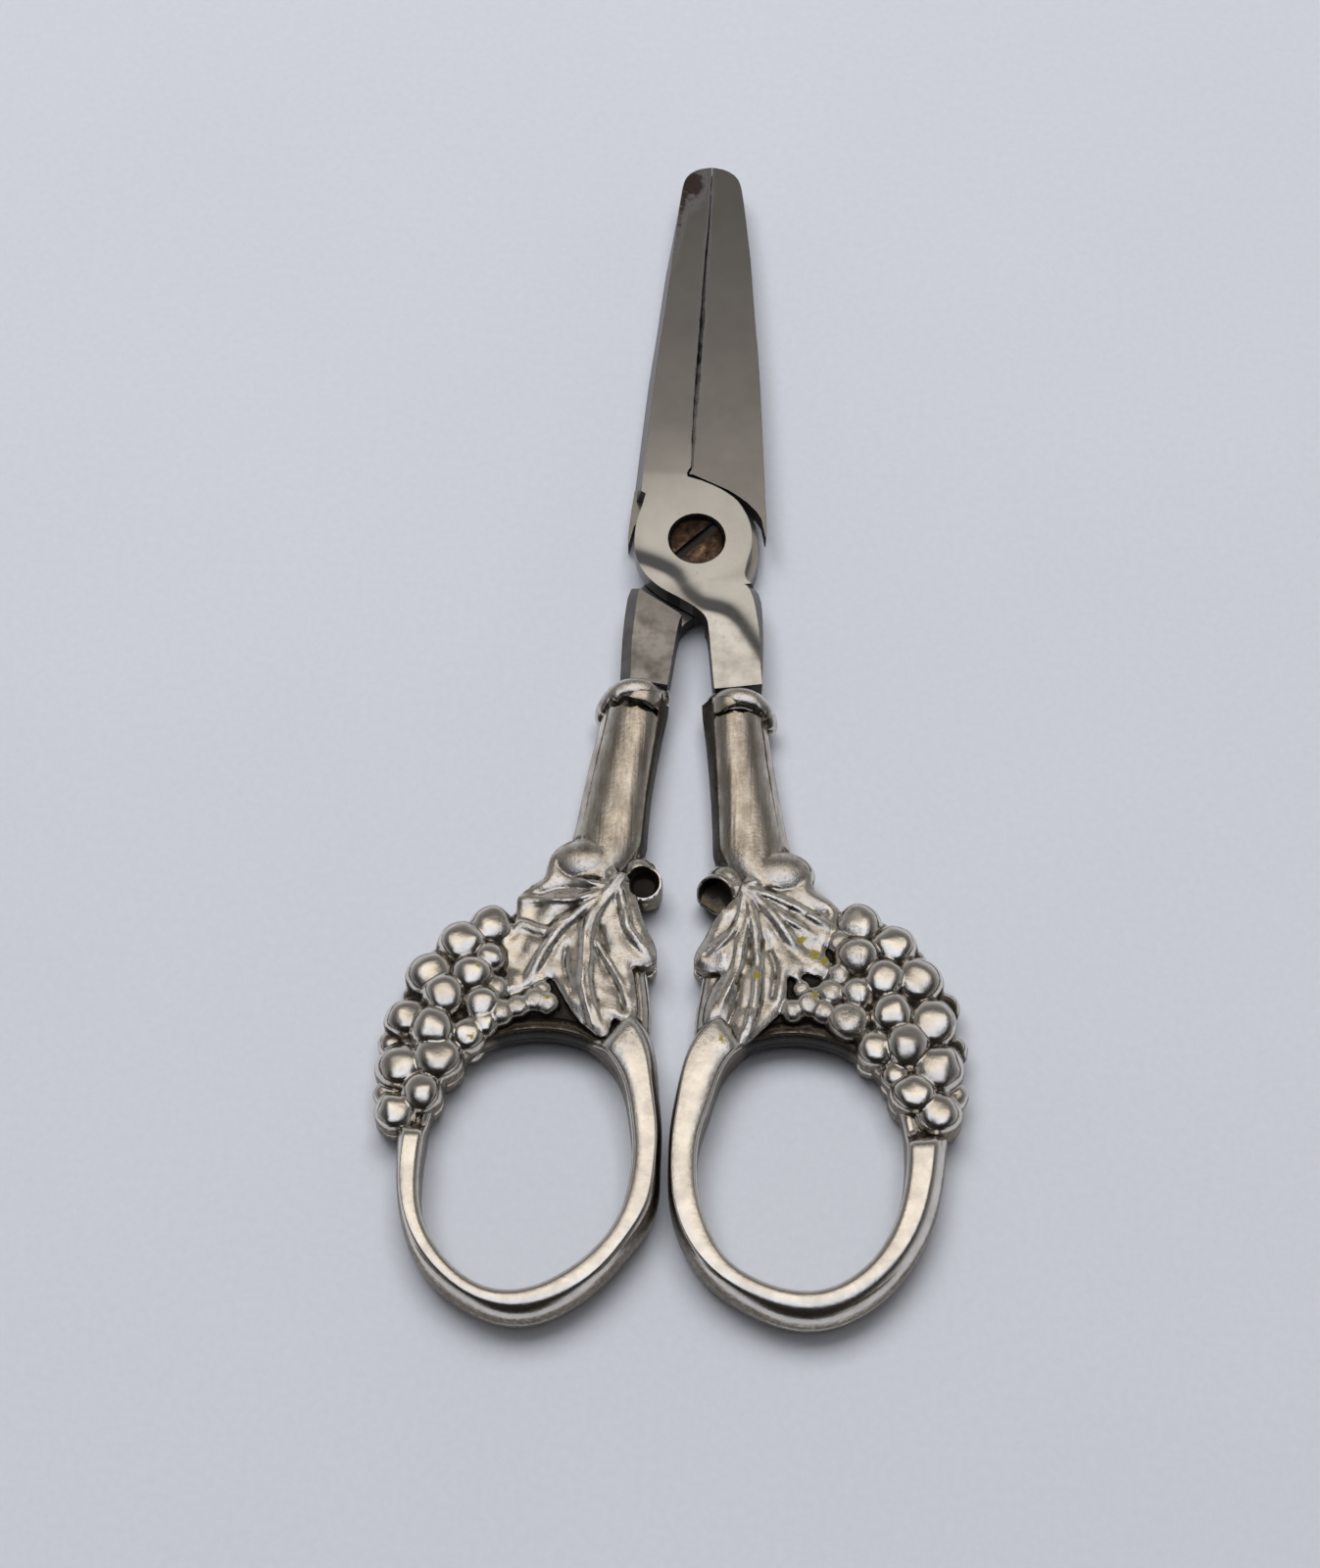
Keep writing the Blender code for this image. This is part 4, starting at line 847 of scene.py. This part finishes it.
LEFT_GRAPES = (
    (21.7, -30.7, 2.0, 0.6), (24.8, -33.1, 2.35, 0.5), (23.5, -37.1, 1.95, 1.2),
    (28.2, -37.1, 2.3, 0.5), (26.4, -39.8, 2.05, 1.2), (22.2, -40.7, 1.85, 1.2),
    (30.4, -42.6, 2.1, 0.5), (27.4, -43.9, 2.2, 1.1), (23.4, -44.4, 1.7, 1.1),
    (26.7, -47.5, 2.25, 1.0), (30.8, -48.4, 2.2, 0.5), (28.1, -51.6, 1.9, 1.1),
    (31.0, -53.9, 1.9, 0.8), (19.9, -41.6, 1.3, 1.4), (18.0, -40.8, 1.2, 1.4),
    (16.3, -39.9, 1.2, 1.4), (14.7, -40.2, 1.1, 1.4), (21.7, -43.0, 1.3, 1.4),
    (20.8, -38.6, 1.4, 1.0), (15.5, -38.6, 1.0, 1.2), (24.9, -36.0, 1.4, 0.3),
    (26.0, -35.4, 1.5, 0.2), (29.4, -39.6, 1.6, -0.3), (24.3, -42.2, 1.5, 0.2),
    (25.0, -46.2, 1.3, 0.2), (29.3, -45.9, 1.7, 0.1), (32.0, -45.3, 1.4, -0.4),
    (32.0, -51.4, 1.4, -0.4), (26.8, -34.6, 1.5, -0.3), (23.3, -31.2, 1.5, -0.4),
    (28.6, -49.6, 1.4, 0.2), (21.6, -34.9, 1.6, 1.2))
RIGHT_WEB = ((6.2, -26.0), (10.0, -22.5), (15.5, -26.0), (19.8, -28.6), (24.0, -31.4), (27.2, -36.0),
             (28.6, -41.0), (29.8, -46.0), (29.8, -51.5), (29.0, -54.6), (27.0, -54.0),
             (26.0, -50.8), (23.6, -46.8), (20.0, -42.8), (15.5, -41.3), (11.0, -41.5), (7.6, -43.2),
             (4.6, -44.4), (2.2, -43.8), (2.0, -41.0), (2.4, -37.6), (3.0, -33.6), (4.6, -29.0))
LEFT_WEB = ((7.4, -26.0), (11.0, -21.4), (16.2, -25.0), (20.6, -29.8), (24.4, -32.6), (28.4, -37.2),
            (30.4, -42.6), (31.0, -48.0), (31.2, -53.4), (30.2, -56.0), (28.2, -55.0), (27.4, -51.6),
            (25.0, -47.4), (21.0, -43.2), (16.0, -41.9), (11.2, -42.3), (8.4, -43.6), (5.8, -44.0),
            (3.4, -43.4), (3.0, -41.0), (3.4, -37.4), (4.2, -33.4), (5.6, -29.4))
GRAPE_SWELL = 1.30   # the melted skin takes the measured grapes in, so they start larger
GRAPE_LIFT = 0.12
GRAPE_SHIFT = 0.15
GRAPE_FLAT = 0.21    # how much of a ball's height is worn off its top


# %% Grapes and web
def make_grapes(grapes):
    deselect()
    bpy.ops.mesh.primitive_uv_sphere_add(segments=28, ring_count=18, radius=1.0)
    ball = bpy.context.object
    form = points_of(ball)
    form[:, 2] -= GRAPE_FLAT * form[:, 2] ** 3
    set_points(ball, form)
    copies = []
    draw = np.random.default_rng(4)
    for x, y, radius, height in grapes:
        form = points_of(ball)
        form *= (1.0 + 0.05 * ripple(form, 1.1, int(draw.integers(1000))))[:, None]
        form *= draw.uniform(0.94, 1.06, 3)
        middle = np.array((x, y + GRAPE_SHIFT, height + GRAPE_LIFT))
        copies.append(copy_of(ball))
        set_points(copies[-1], form * (radius * GRAPE_SWELL) + middle)
    bpy.data.objects.remove(ball)
    return copies


def make_web(outline):
    line = smooth_line(outline, 90, closed=True)
    middle = line.mean(axis=0)
    return loft([at_height(line + (middle - line) * share, height) for share, height in (
        (0.0, UNDER), (0.0, 0.2), (0.02, 0.8), (0.06, 1.2), (0.13, 1.40))])


# %% [markdown]
# ## Stalk and bosses
# Above each leaf its stalk curls up into an open, hollow cup. A broad smooth boss lies between
# stem and leaf, and smaller ones carry the cup. Each boss is a ball drawn out to size. The cup
# is lofted, and its hollow is cut out at the very end, when nothing can fill it again.

# %% Measured stalks, in mm. Balls: middle, then half their length each way
RIGHT_STALK = {"mouth": (3.75, -25.8, 1.55), "way": (-0.40, -0.60, 0.68), "radius": 2.4, "depth": 2.0,
               "balls": ((5.0, -23.6, 0.6, 2.3, 2.1, 2.0), (11.0, -22.9, 1.2, 4.2, 3.1, 1.95),
                         (6.3, -25.0, 1.0, 1.2, 1.6, 1.7))}
LEFT_STALK = {"mouth": (4.5, -24.6, 1.75), "way": (0.14, -0.10, 0.95), "radius": 2.15, "depth": 1.6,
              "balls": ((5.2, -22.8, 0.6, 2.1, 1.8, 1.9), (11.2, -22.2, 1.2, 4.3, 3.1, 2.0),
                        (6.6, -24.6, 1.0, 1.3, 1.5, 1.7))}
CUP_FLOOR = 0.30
CUP_WALL = 0.32


# %% Cup and balls
def tube_rows(stalk, radius, shares, places):
    """Circles across the stalk's way, each a share of the radius, at places along it."""
    way = Vector(stalk["way"]).normalized()
    across = way.cross(Vector((0.0, 0.0, 1.0))).normalized()
    over = across.cross(way).normalized()
    rows = []
    for share, place in zip(shares, places):
        centre = Vector(stalk["mouth"]) + way * place
        rows.append([centre + across * (radius * share * cos) + over * (radius * share * sin)
                     for cos, sin in ring(40)])
    return rows


def make_stalk(stalk):
    parts = [loft(tube_rows(stalk, stalk["radius"], (0.8, 0.92, 0.97, 1.0), (-2.6, -1.6, -0.7, 0.0)))]
    for x, y, z, *size in stalk["balls"]:
        deselect()
        bpy.ops.mesh.primitive_uv_sphere_add(segments=40, ring_count=24, radius=1.0)
        parts.append(bpy.context.object)
        set_points(parts[-1], points_of(parts[-1]) * size + (x, y, z))
    return parts


def cup_hollow(stalk):
    hollow = loft(tube_rows(stalk, stalk["radius"] - CUP_WALL, (0.55, 0.84, 0.94, 1.0, 1.08),
                            [stalk["depth"] * share for share in (-1.0, -0.7, -0.3, 0.0, 0.8)]))
    with editing(hollow):
        bpy.ops.mesh.bisect(plane_co=(0.0, 0.0, CUP_FLOOR), plane_no=(0.0, 0.0, 1.0),
                            use_fill=True, clear_inner=True)
    return hollow


# %% [markdown]
# ## One casting
# Leaf, grapes, web and stalk were one wax model once, so they run into each other without a
# seam. They are joined and a voxel remesh melts them into one skin. A little smoothing takes
# off the voxel steps, and Decimate keeps faces only where the form needs them. Bow and stem
# have crisp lines, so they are united with the skin afterwards.

# %% Melt the ornament and make a half
VOXEL = 0.15
KEEP_SHARE = 0.42


def melt(parts):
    pick(*parts)
    bpy.ops.object.join()
    skin = bpy.context.object
    add_modifier(skin, "REMESH", mode="VOXEL", voxel_size=VOXEL, adaptivity=0.0)
    add_modifier(skin, "SMOOTH", factor=0.5, iterations=2)
    add_modifier(skin, "DECIMATE", ratio=KEEP_SHARE)
    return skin


def make_half(bow, stem, crack, leaf, grapes, web, stalk, seed):
    skin = melt([make_leaf(leaf, seed), make_web(web), *make_stalk(stalk), *make_grapes(grapes)])
    half = combine(make_bow(bow), make_stem(stem, crack))
    half = combine(combine(half, skin), cup_hollow(stalk), "DIFFERENCE")
    with editing(half):
        bpy.ops.mesh.bisect(plane_co=(0.0, 0.0, HALF_JOINT), plane_no=(0.0, 0.0, 1.0),
                            use_fill=True, clear_inner=True)
        bpy.ops.mesh.select_all(action="SELECT")
        bpy.ops.mesh.remove_doubles(threshold=0.002)
        bpy.ops.mesh.normals_make_consistent(inside=False)
    return half


# %% [markdown]
# ## Where tarnish and painted shade sit
# Tarnish stays where no cloth reaches. Each point is set against its blurred neighbourhood:
# where the blur lies above it, it is in a hollow. The gaps between the grapes, the steep
# sides, the edge of the ground faces, the stem's inner wall and the cup get a share of their
# own, which is painted shade, on the steep sides partly tarnish too. The sides that face
# outwards are rubbed by the hand and stay cleaner.

# %% Measure tarnish and painted shade
GRAPE_BAND = (-27.0, -46.5)      # along the tool, where leaf and grapes start and end
BOW_MIDDLE = (16.5, -56.0)


def depth_below(obj, points, normals):
    """How far each point lies below its surroundings, near and wide."""
    count = len(points)
    a, b = read(obj.data.edges, "vertices", 2, int).T
    degree = np.maximum(np.bincount(np.concatenate([a, b]), minlength=count), 1)
    blurred = points.copy()
    depth = np.zeros(count)
    for step in range(1, 41):
        total = np.column_stack([np.bincount(a, blurred[b, k], count)
                                 + np.bincount(b, blurred[a, k], count) for k in range(3)])
        blurred = total / degree[:, None]
        if step in (6, 16, 40):
            depth += ((blurred - points) * normals).sum(axis=1) / math.sqrt(step)
    return depth


def in_cup(points, normals, stalk, mirror):
    """The points of a stalk's hollow, which face its mouth, in the front and the back half."""
    x, y, z = stalk["mouth"]
    inside = np.zeros(len(points), bool)
    for height in (MIDDLE + z, MIDDLE - z):
        towards = np.array((mirror * x, y, height)) - points
        reach = np.linalg.norm(towards, axis=1)
        facing = (towards * normals).sum(axis=1) / np.maximum(reach, 0.01)
        inside |= (reach < stalk["radius"] + 0.4) & (facing > 0.25)
    return inside


def mark_tarnish_and_shade(obj, stalk=None, mirror=1.0, residue=(), tarnish_and_shade=1.0, rough=0.0):
    points = points_of(obj)
    normals = read(obj.data.vertices, "normal")
    x, y, z = points.T
    depth = depth_below(obj, points, normals)
    lift = np.abs(z - MIDDLE)
    level = np.abs(normals[:, 2])
    start, end = GRAPE_BAND
    among = rise(y, start, start - 2.0) * rise(y, end, end + 2.0) * rise(np.abs(x), 4.5, 6.0)
    from_bow = np.column_stack([x - BOW_MIDDLE[0] * np.sign(x), y - BOW_MIDDLE[1]])
    far_out = np.hypot(*from_bow.T)
    outward = (from_bow * normals[:, :2]).sum(axis=1) / far_out
    rubbed = rise(outward, 0.2, 0.5) * rise(far_out, 15.5, 17.5)
    inward = -normals[:, 0] * np.sign(x)
    # Tarnish in the hollows first. The other terms are painted shade: more darkness between the grapes,
    # on their steep sides and low places, on steep sides and the edge of the ground faces everywhere
    # (there partly tarnish), and on the stem's inner wall
    value = np.maximum.reduce([
        np.clip(0.34 + depth * 2.8, 0.0, 1.0),
        np.clip(0.34 + depth * 5.0, 0.0, 1.0) * (among > 0.5) * (lift < 3.2),
        0.91 * among * rise(level, 0.62, 0.40) * (1.0 - rubbed),
        0.92 * among * (1.0 - 0.4 * rubbed) * rise(lift, 2.05, 1.55),
        0.75 * rise(level, 0.80, 0.30), 0.81 * hump(level - 0.72, 0.10),
        0.86 * rise(inward, 0.45, 0.75) * rise(y, -25.0, -22.0) * (np.abs(x) < 6.2)])
    # Painted shade inside the cup
    if stalk is not None:
        value = np.maximum(value, 0.79 * in_cup(points, normals, stalk, mirror))
    spots = np.zeros(len(points))
    for spot_x, spot_y, size in residue:
        spots = np.maximum(spots, hump(np.hypot(x - spot_x, y - spot_y), size))
    cast = rise(y, -18.0, -20.0) * rise(y, end, end + 2.0) * rise(lift, 1.9, 2.3)
    add_mark(obj, "hollow", value * tarnish_and_shade)
    add_mark(obj, "dull", rise(y, -24.0, -21.0) * rise(y, -0.8, -1.8))
    add_mark(obj, "residue", spots * (z > MIDDLE))
    add_mark(obj, "cast", rough + cast * (np.abs(x) < 20.5))
    print("depth from", *(round(float(np.percentile(depth, share)), 3) for share in (2, 98)))


# %% Make the four castings
RIGHT_RESIDUE = ((13.7, -31.3, 0.8), (15.2, -33.0, 1.0), (16.3, -33.8, 0.8), (15.3, -38.2, 0.7),
                 (8.7, -36.2, 0.7), (5.1, -44.2, 0.6))
LEFT_RESIDUE = ((-14.6, -39.6, 0.5), (-22.6, -36.4, 0.6), (-23.0, -44.8, 0.6))
HANDLES = (
    ("right", "front_half", 1.0, RIGHT_STALK, RIGHT_RESIDUE,
     (RIGHT_BOW, RIGHT_STEM, RIGHT_CRACK, RIGHT_LEAF, RIGHT_GRAPES, RIGHT_WEB, RIGHT_STALK, 11)),
    ("left", "back_half", -1.0, LEFT_STALK, LEFT_RESIDUE,
     (LEFT_BOW, LEFT_STEM, LEFT_CRACK, LEFT_LEAF, LEFT_GRAPES, LEFT_WEB, LEFT_STALK, 23)))
for side_name, body, mirror, stalk, residue, shapes in HANDLES:
    half = make_half(*shapes)
    for face_name, up in (("front", 1.0), ("back", -1.0)):
        casting = copy_of(half)
        set_on_tool(casting, (mirror, 1.0, up), (0.0, 0.0, MIDDLE))
        mark_tarnish_and_shade(casting, stalk, mirror, residue)
        finish_piece(casting, f"{side_name}_vine_handle_{face_name}", body, silver,
                     f"{side_name}_handle_{face_name}")
    bpy.data.objects.remove(half)

# %% [markdown]
# ## The steel halves
# Each half is one forging: a blade, a disc for the joint and a shank. Its outline is sawn and
# filed, its faces are ground. The outline here is an extruded plate whose blade side leans
# inwards. The ground faces come from two fine grids that are lifted into a thinning blade and
# a low ridge across the disc, because a flat face would mirror one even tone. A Boolean keeps
# what both share, and the bed of the other half's disc is cut from below.

# %% Measured outline of a steel half, in mm about the pivot screw
PIVOT = (0.0, 21.4)
BLADE_BACK = ((-0.6, 56.05), (-1.8, 55.75), (-3.0, 54.95), (-3.8, 53.5), (-4.4, 50.0),
              (-4.98, 45.4), (-5.52, 40.8), (-6.22, 32.4), (-6.92, 24.8), (-7.76, 11.87),
              (-8.09, 6.44))
NOTCH = (-6.45, 6.1)
DISC_LEFT = ((-6.8, 4.4), (-7.3, 2.6), (-7.5, 1.0), (-7.55, -0.8), (-7.3, -2.65), (-6.7, -4.25),
             (-5.7, -5.7), (-4.0, -7.15), (-1.65, -8.5), (0.1, -9.6), (1.4, -10.9), (1.85, -12.6),
             (2.3, -16.5), (2.77, -20.45))
SHANK_SIDE = ((8.43, -19.75), (8.4, -13.4), (8.1, -8.6), (7.7, -6.9))
DISC_RIGHT = ((7.3, -6.3), (6.3, -5.5), (5.95, -4.5), (6.2, -2.9), (6.6, -1.2), (6.7, 0.5),
              (6.4, 2.35), (5.7, 4.05), (4.7, 5.55), (3.3, 6.7), (1.9, 7.5), (0.3, 8.2))
SEAM = ((-1.3, 8.7), (-1.35, 9.5), (-0.93, 9.9), (-0.92, 10.8), (-0.88, 16.2), (-0.66, 24.5),
        (-0.45, 31.9), (-0.30, 40.6), (-0.07, 46.8), (0.02, 52.0), (0.05, 56.1))
SEAM_GAPS = ((8.7, 0.25), (16.0, 0.45), (30.0, 0.48), (42.0, 0.26), (50.0, 0.12), (56.1, 0.05))
BED = ((0.75, 9.0), (-3.5, 7.0), (-4.8, 6.15), (-6.0, 5.2), (-7.15, 3.95), (-7.75, 2.95),
       (-8.05, 1.55), (-8.25, 0.5), (-15.0, -0.1), (-15.0, -12.1), (0.4, -12.1), (1.75, -10.5),
       (7.05, -7.1), (15.0, -2.0), (15.0, 9.0))
SPUR = ((-7.9, 8.0), (-8.15, 5.55), (-8.3, 3.4), (-8.42, 1.4), (-8.35, 0.1), (-7.9, 0.7),
        (-7.0, 2.6), (-6.0, 5.0), (-5.8, 8.8))
RIDGE = ((-8.2, -3.6), (-5.2, -4.6), (-3.0, -5.8), (-1.6, -8.0), (0.6, -9.9), (3.8, -10.9),
         (6.2, -14.0), (9.0, -19.0))
TANG = ((-1.1, 1.6, 1.1), (17.0, 1.0, 0.7))     # along the handle, half width, half thickness
BLADE_LEAN = 1.05    # the blade's upper edge lies further in than its lower edge
STEEL_TOP = 2.6      # above the middle plane
SPLAY = 7.0          # degrees between a tang and the tool's middle line
SHANK_END = (5.6, -20.1)
BLOCK = ((-10.0, -21.0), (9.5, 56.8))           # low and high corner of the ground grids
PIVOT_HOLE = 1.95    # radius of the hole for the screw
HEAD_RECESS = 3.5    # radius of the recess for its head, in the upper disc
RECESS_FLOOR = 0.85
PAST = 6.0           # a cutter reaches this far, which is past every face


# %% Ground faces of a steel half
def face_height(places):
    run = np.clip(places[:, 1] - 8.0, 0.0, 60.0) / 48.0
    return STEEL_TOP - 0.75 * run ** 1.8 + 0.010 * ripple(places, 11.0, 5)


def upper_face(places):
    """A crest across disc and shank: it climbs softly and falls off more gently."""
    reach, side = to_line(places, smooth_line(RIDGE, 30))
    climb = np.where(side > 0, hump(reach, 1.25), hump(reach, 3.0))
    return face_height(places) + (0.26 * climb - 0.45 * rise(places[:, 1], 9.0, -21.0))


def lower_face(places):
    """The other half's shank shows this side, left as the file cut it, not quite flat."""
    return 0.05 * ripple(places, 7.0, 9) * rise(places[:, 1], -4.0, -8.0) - face_height(places)


def ground_block():
    block = grid_of(upper_face, *BLOCK, 0.3)
    pick(block, grid_of(lower_face, *BLOCK, 0.3))
    bpy.ops.object.join()
    with editing(block):
        bpy.ops.mesh.select_mode(type="EDGE")
        bpy.ops.mesh.select_all(action="DESELECT")
        bpy.ops.mesh.select_non_manifold(extend=False)
        bpy.ops.mesh.bridge_edge_loops()
        bpy.ops.mesh.select_mode(type="VERT")
        bpy.ops.mesh.select_all(action="SELECT")
        bpy.ops.mesh.normals_make_consistent(inside=False)
    return block


# %% Outline of a steel half
def steel_outline():
    back = smooth_line(BLADE_BACK, 60)
    seam = smooth_line(SEAM, 90)
    gap = np.interp(seam[:, 1], *np.transpose(SEAM_GAPS))
    gap *= 1.0 + 0.25 * ripple(seam, 2.0, 14)
    gap[-1] = 0.05
    line = np.vstack([back, [NOTCH], smooth_line(DISC_LEFT, 80), smooth_line(SHANK_SIDE, 12),
                      smooth_line(DISC_RIGHT, 60), seam])
    lean = np.zeros(len(line))
    lean[:len(back)] = BLADE_LEAN * rise(back[:, 1], 58.0, 40.0) ** 0.8
    upper, lower = line[:, 0].copy(), line[:, 0].copy()
    upper[-len(seam):] -= gap / 2
    lower[-len(seam):] = -seam[:, 0] - gap / 2
    on_shank = (line[:, 0] > 6.9) & (line[:, 1] < -6.0)
    over = np.where(on_shank, 1.3 * (0.12 + 0.88 * rise(line[:, 1], -19.8, -6.8)), 0.0)
    under = np.where(on_shank, 1.2, 0.0)
    flat = np.zeros(len(line))
    rows = []
    for across, heights, inset in (
            (lower, flat - 4.0, np.where(on_shank, under + 1.4, 0.0)), (lower, under - STEEL_TOP, flat),
            (lower, flat - 0.12, flat), (upper, flat - 0.10, flat), (upper, STEEL_TOP - over, flat),
            (upper, flat + 4.0, np.where(on_shank, over + 1.4, 0.0))):
        shift = lean * (heights + STEEL_TOP) / (2 * STEEL_TOP) - inset
        rows.append(np.column_stack([across + shift, line[:, 1], heights]))
    return loft(rows)


# %% Put a steel half together
def slab(outline, low, high):
    return loft([at_height(np.array(outline), low), at_height(np.array(outline), high)])


def tang_bar():
    cos, sin = cos_sin(SPLAY)
    down, across, up = np.array(((sin, -cos, 0.0), (cos, sin, 0.0), (0.0, 0.0, 1.0)))
    root = np.array((*SHANK_END, 0.0))
    return loft([[root + down * place + across * wide * a + up * thick * b
                  for a, b in ((-1, -1), (1, -1), (1, 1), (-1, 1))] for place, wide, thick in TANG])


def make_steel_half():
    form = combine(steel_outline(), slab(SPUR, -4.2, -0.15))
    half = combine(ground_block(), form, "INTERSECT")
    half = combine(half, slab(BED, -5.0, 0.15), "DIFFERENCE")
    half = combine(half, tang_bar())
    return combine(half, slab(ring(64) * PIVOT_HOLE, -PAST, PAST), "DIFFERENCE")


# %% Marks of wear, and the painted shade on the walls, that the steel's finish reads
def mark_steel(obj, turned):
    points = points_of(obj)
    x, y, z = points.T
    y = y - PIVOT[1]
    disc = 1.0 - np.clip((np.hypot(x, y - 0.5) - 6.2) / np.where(y > 0, 10.0, 3.5), 0.0, 1.0)
    shank = rise(y, -3.0, -6.0) * rise(x, -1.0, 1.0)
    add_mark(obj, "polish", np.maximum(disc, shank) * (z > MIDDLE) * (not turned))
    add_mark(obj, "mottle", np.maximum(rise(y, -7.0, -12.0) * (0.85 if turned else 0.5), 0.10))
    wander = ripple(points, 4.0, 8)
    tip = hump(np.hypot(x + 2.6, (y - 53.4) * 0.6), 2.3 + 0.5 * wander)
    edge_run = 0.8 * hump(x + 3.4 + 0.075 * (52.0 - y), 0.8) * rise(y, 36.0, 50.0)
    centre = np.interp(y, *np.transpose(SEAM[3:])[::-1])
    seam = hump(x - centre, 0.36 + 0.16 * np.clip(wander, 0, 1)) * rise(y, 10.0, 14.0)
    seam *= 0.55 + 0.5 * hump(y - 29.0, 8.0)
    add_mark(obj, "stain", np.maximum.reduce([tip * (x < -0.4), edge_run, seam]))
    normals = read(obj.data.polygons, "normal")
    centres = read(obj.data.polygons, "center")
    along = centres[:, 1] - PIVOT[1]
    on_blade = along > 7.0
    leaning = np.abs(normals[:, 2]) > 0.12
    outer = normals[:, 0] * np.sign(centres[:, 0]) > 0.5
    outer |= on_blade & (normals[:, 1] > 0.3)
    # Upright faces are darkened, partly scale and partly painted shade; outward faces less
    wall_scale_and_shade = np.where(on_blade & leaning, 0.80, np.where((along < -6.0) & leaning, 0.82, 1.0))
    wall_scale_and_shade = np.where(outer & ~leaning, np.where(on_blade, 0.30, 0.70), wall_scale_and_shade)
    add_mark(obj, "wall", np.where(np.abs(normals[:, 2]) < 0.86, wall_scale_and_shade, 0.0), "FACE")


# %% Make both steel halves
half = make_steel_half()
for name, body, node_name, turned in (("left_blade_half", "front_half", "front_blade", False),
                                      ("right_blade_half", "back_half", "back_blade", True)):
    blade = copy_of(half)
    if not turned:
        blade = combine(blade, slab(ring(64) * HEAD_RECESS, RECESS_FLOOR, PAST), "DIFFERENCE")
    flip = -1.0 if turned else 1.0
    set_on_tool(blade, (flip, 1.0, flip), (*PIVOT, MIDDLE))
    with editing(blade):
        bpy.ops.mesh.remove_doubles(threshold=0.001)
    mark_steel(blade, turned)
    finish_piece(blade, name, body, steel, node_name, 30.0)
bpy.data.objects.remove(half)

# %% [markdown]
# ## The pivot screw
# A turned screw with a slightly domed head. Its profile is lofted ring by ring, as a lathe
# would cut it, and the slot is a box taken out across the head.

# %% Pivot screw
SCREW_RINGS = ((1.0, -2.6), (1.8, -2.2), (1.8, 0.98), (3.2, 0.98), (3.35, 1.15), (3.35, 1.62),
               (3.22, 1.80), (2.7, 1.95), (1.8, 2.06), (0.8, 2.11))
SLOT_SIZE = (9.0, 1.15, 1.2)
SLOT_HEIGHT = 2.05   # of the middle of the cutter, so the slot is 0.66 mm deep
SLOT_TURN = -45.0    # degrees, as the screw stands in the photo


def box(size, middle):
    deselect()
    bpy.ops.mesh.primitive_cube_add(size=1.0)
    obj = bpy.context.object
    set_points(obj, points_of(obj) * size + middle)
    return obj


slot = box(SLOT_SIZE, (0.0, 0.0, SLOT_HEIGHT))
with editing(slot):
    bpy.ops.transform.rotate(value=math.radians(SLOT_TURN), orient_axis="Z",
                             center_override=ORIGIN)
screw = loft([at_height(ring(72) * radius, height) for radius, height in SCREW_RINGS])
screw = combine(screw, slot, "DIFFERENCE")
set_on_tool(screw, (1.0, 1.0, 1.0), (*PIVOT, MIDDLE))
# Painted shade on the screw: its upright faces and everything below the top of its head
heights = read(screw.data.polygons, "center")[:, 2]
upright = np.abs(read(screw.data.polygons, "normal")[:, 2]) < 0.2
add_mark(screw, "wall", ((heights < MIDDLE + 1.6) | upright) * 1.0, "FACE")
finish_piece(screw, "slotted_pivot_screw", "back_half", screw_steel, "pivot_screw",
             30.0)

# %% [markdown]
# ## The collars
# A beaded ring closes each stem. On the old shears its outer end has been drawn back along
# the stem and its lower edge is ragged. The bead is a small circle carried round the stem's
# section, with its path swept back on the outer side, and a plug fills it behind the shank.

# %% Collars
BEAD = (1.02, 1.18)            # half of the bead's thickness outwards and along the stem
SHANK_ROOM = (3.8, 6.0, 2.8)   # taken out of the plug, so that the steel passes through


def make_collar(middle, wide, sweep, seed):
    cos, sin = ring(84).T
    path = np.column_stack([
        middle[0] + wide * cos,
        middle[1] - sweep * ((1 + cos) / 2) ** 5 - 0.5 * ((1 - cos) / 2) ** 3, 2.05 * sin])
    outward = np.column_stack([cos, 0 * cos, sin])
    uneven = 1.0 + 0.05 * ripple(path, 2.2, seed)
    ragged = 0.22 * ripple(path, 0.8, seed + 1) * (cos > 0.3)
    rows = []
    for over, up in ring(24):
        flat = math.copysign(abs(over) ** 0.55, over)
        rows.append(path + outward * (BEAD[0] * uneven * flat)[:, None])
        rows[-1][:, 1] += BEAD[1] * up - ragged * max(0.0, -up)
    plug = [np.column_stack([middle[0] - 0.35 + (wide - 0.55) * cos, middle[1] + place + 0 * cos,
                             2.0 * sin]) for place in (0.3, -0.3)]
    collar = combine(loft([*rows, rows[0]], caps=False), loft(plug))
    return combine(collar, box(SHANK_ROOM, np.array(middle) - (0.3, 0.0, 0.0)), "DIFFERENCE")


for side_name, body, mirror, middle, wide, sweep, seed in (
        ("right", "front_half", 1.0, (6.1, 0.0, 0.0), 3.3, 2.6, 31),
        ("left", "back_half", -1.0, (6.8, 0.8, 0.0), 3.45, 2.8, 32)):
    collar = make_collar(middle, wide, sweep, seed)
    set_on_tool(collar, (mirror, 1.0, 1.0), (0.0, 0.0, MIDDLE))
    mark_tarnish_and_shade(collar, tarnish_and_shade=0.5, rough=0.9)
    finish_piece(collar, f"{side_name}_beaded_collar", body, silver,
                 f"{side_name}_collar")

# %% [markdown]
# ## Parts kept from the CAD model
# The cement in each stem keeps its CAD shape, which hardly shows, and only gets its finish.

# %% Finish for the kept nodes
for name in ("right_handle_filler", "left_handle_filler"):
    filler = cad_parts[name]
    filler.data.materials.clear()
    filler.data.materials.append(cement)
    print(name, "keeps its", len(filler.data.polygons), "faces")
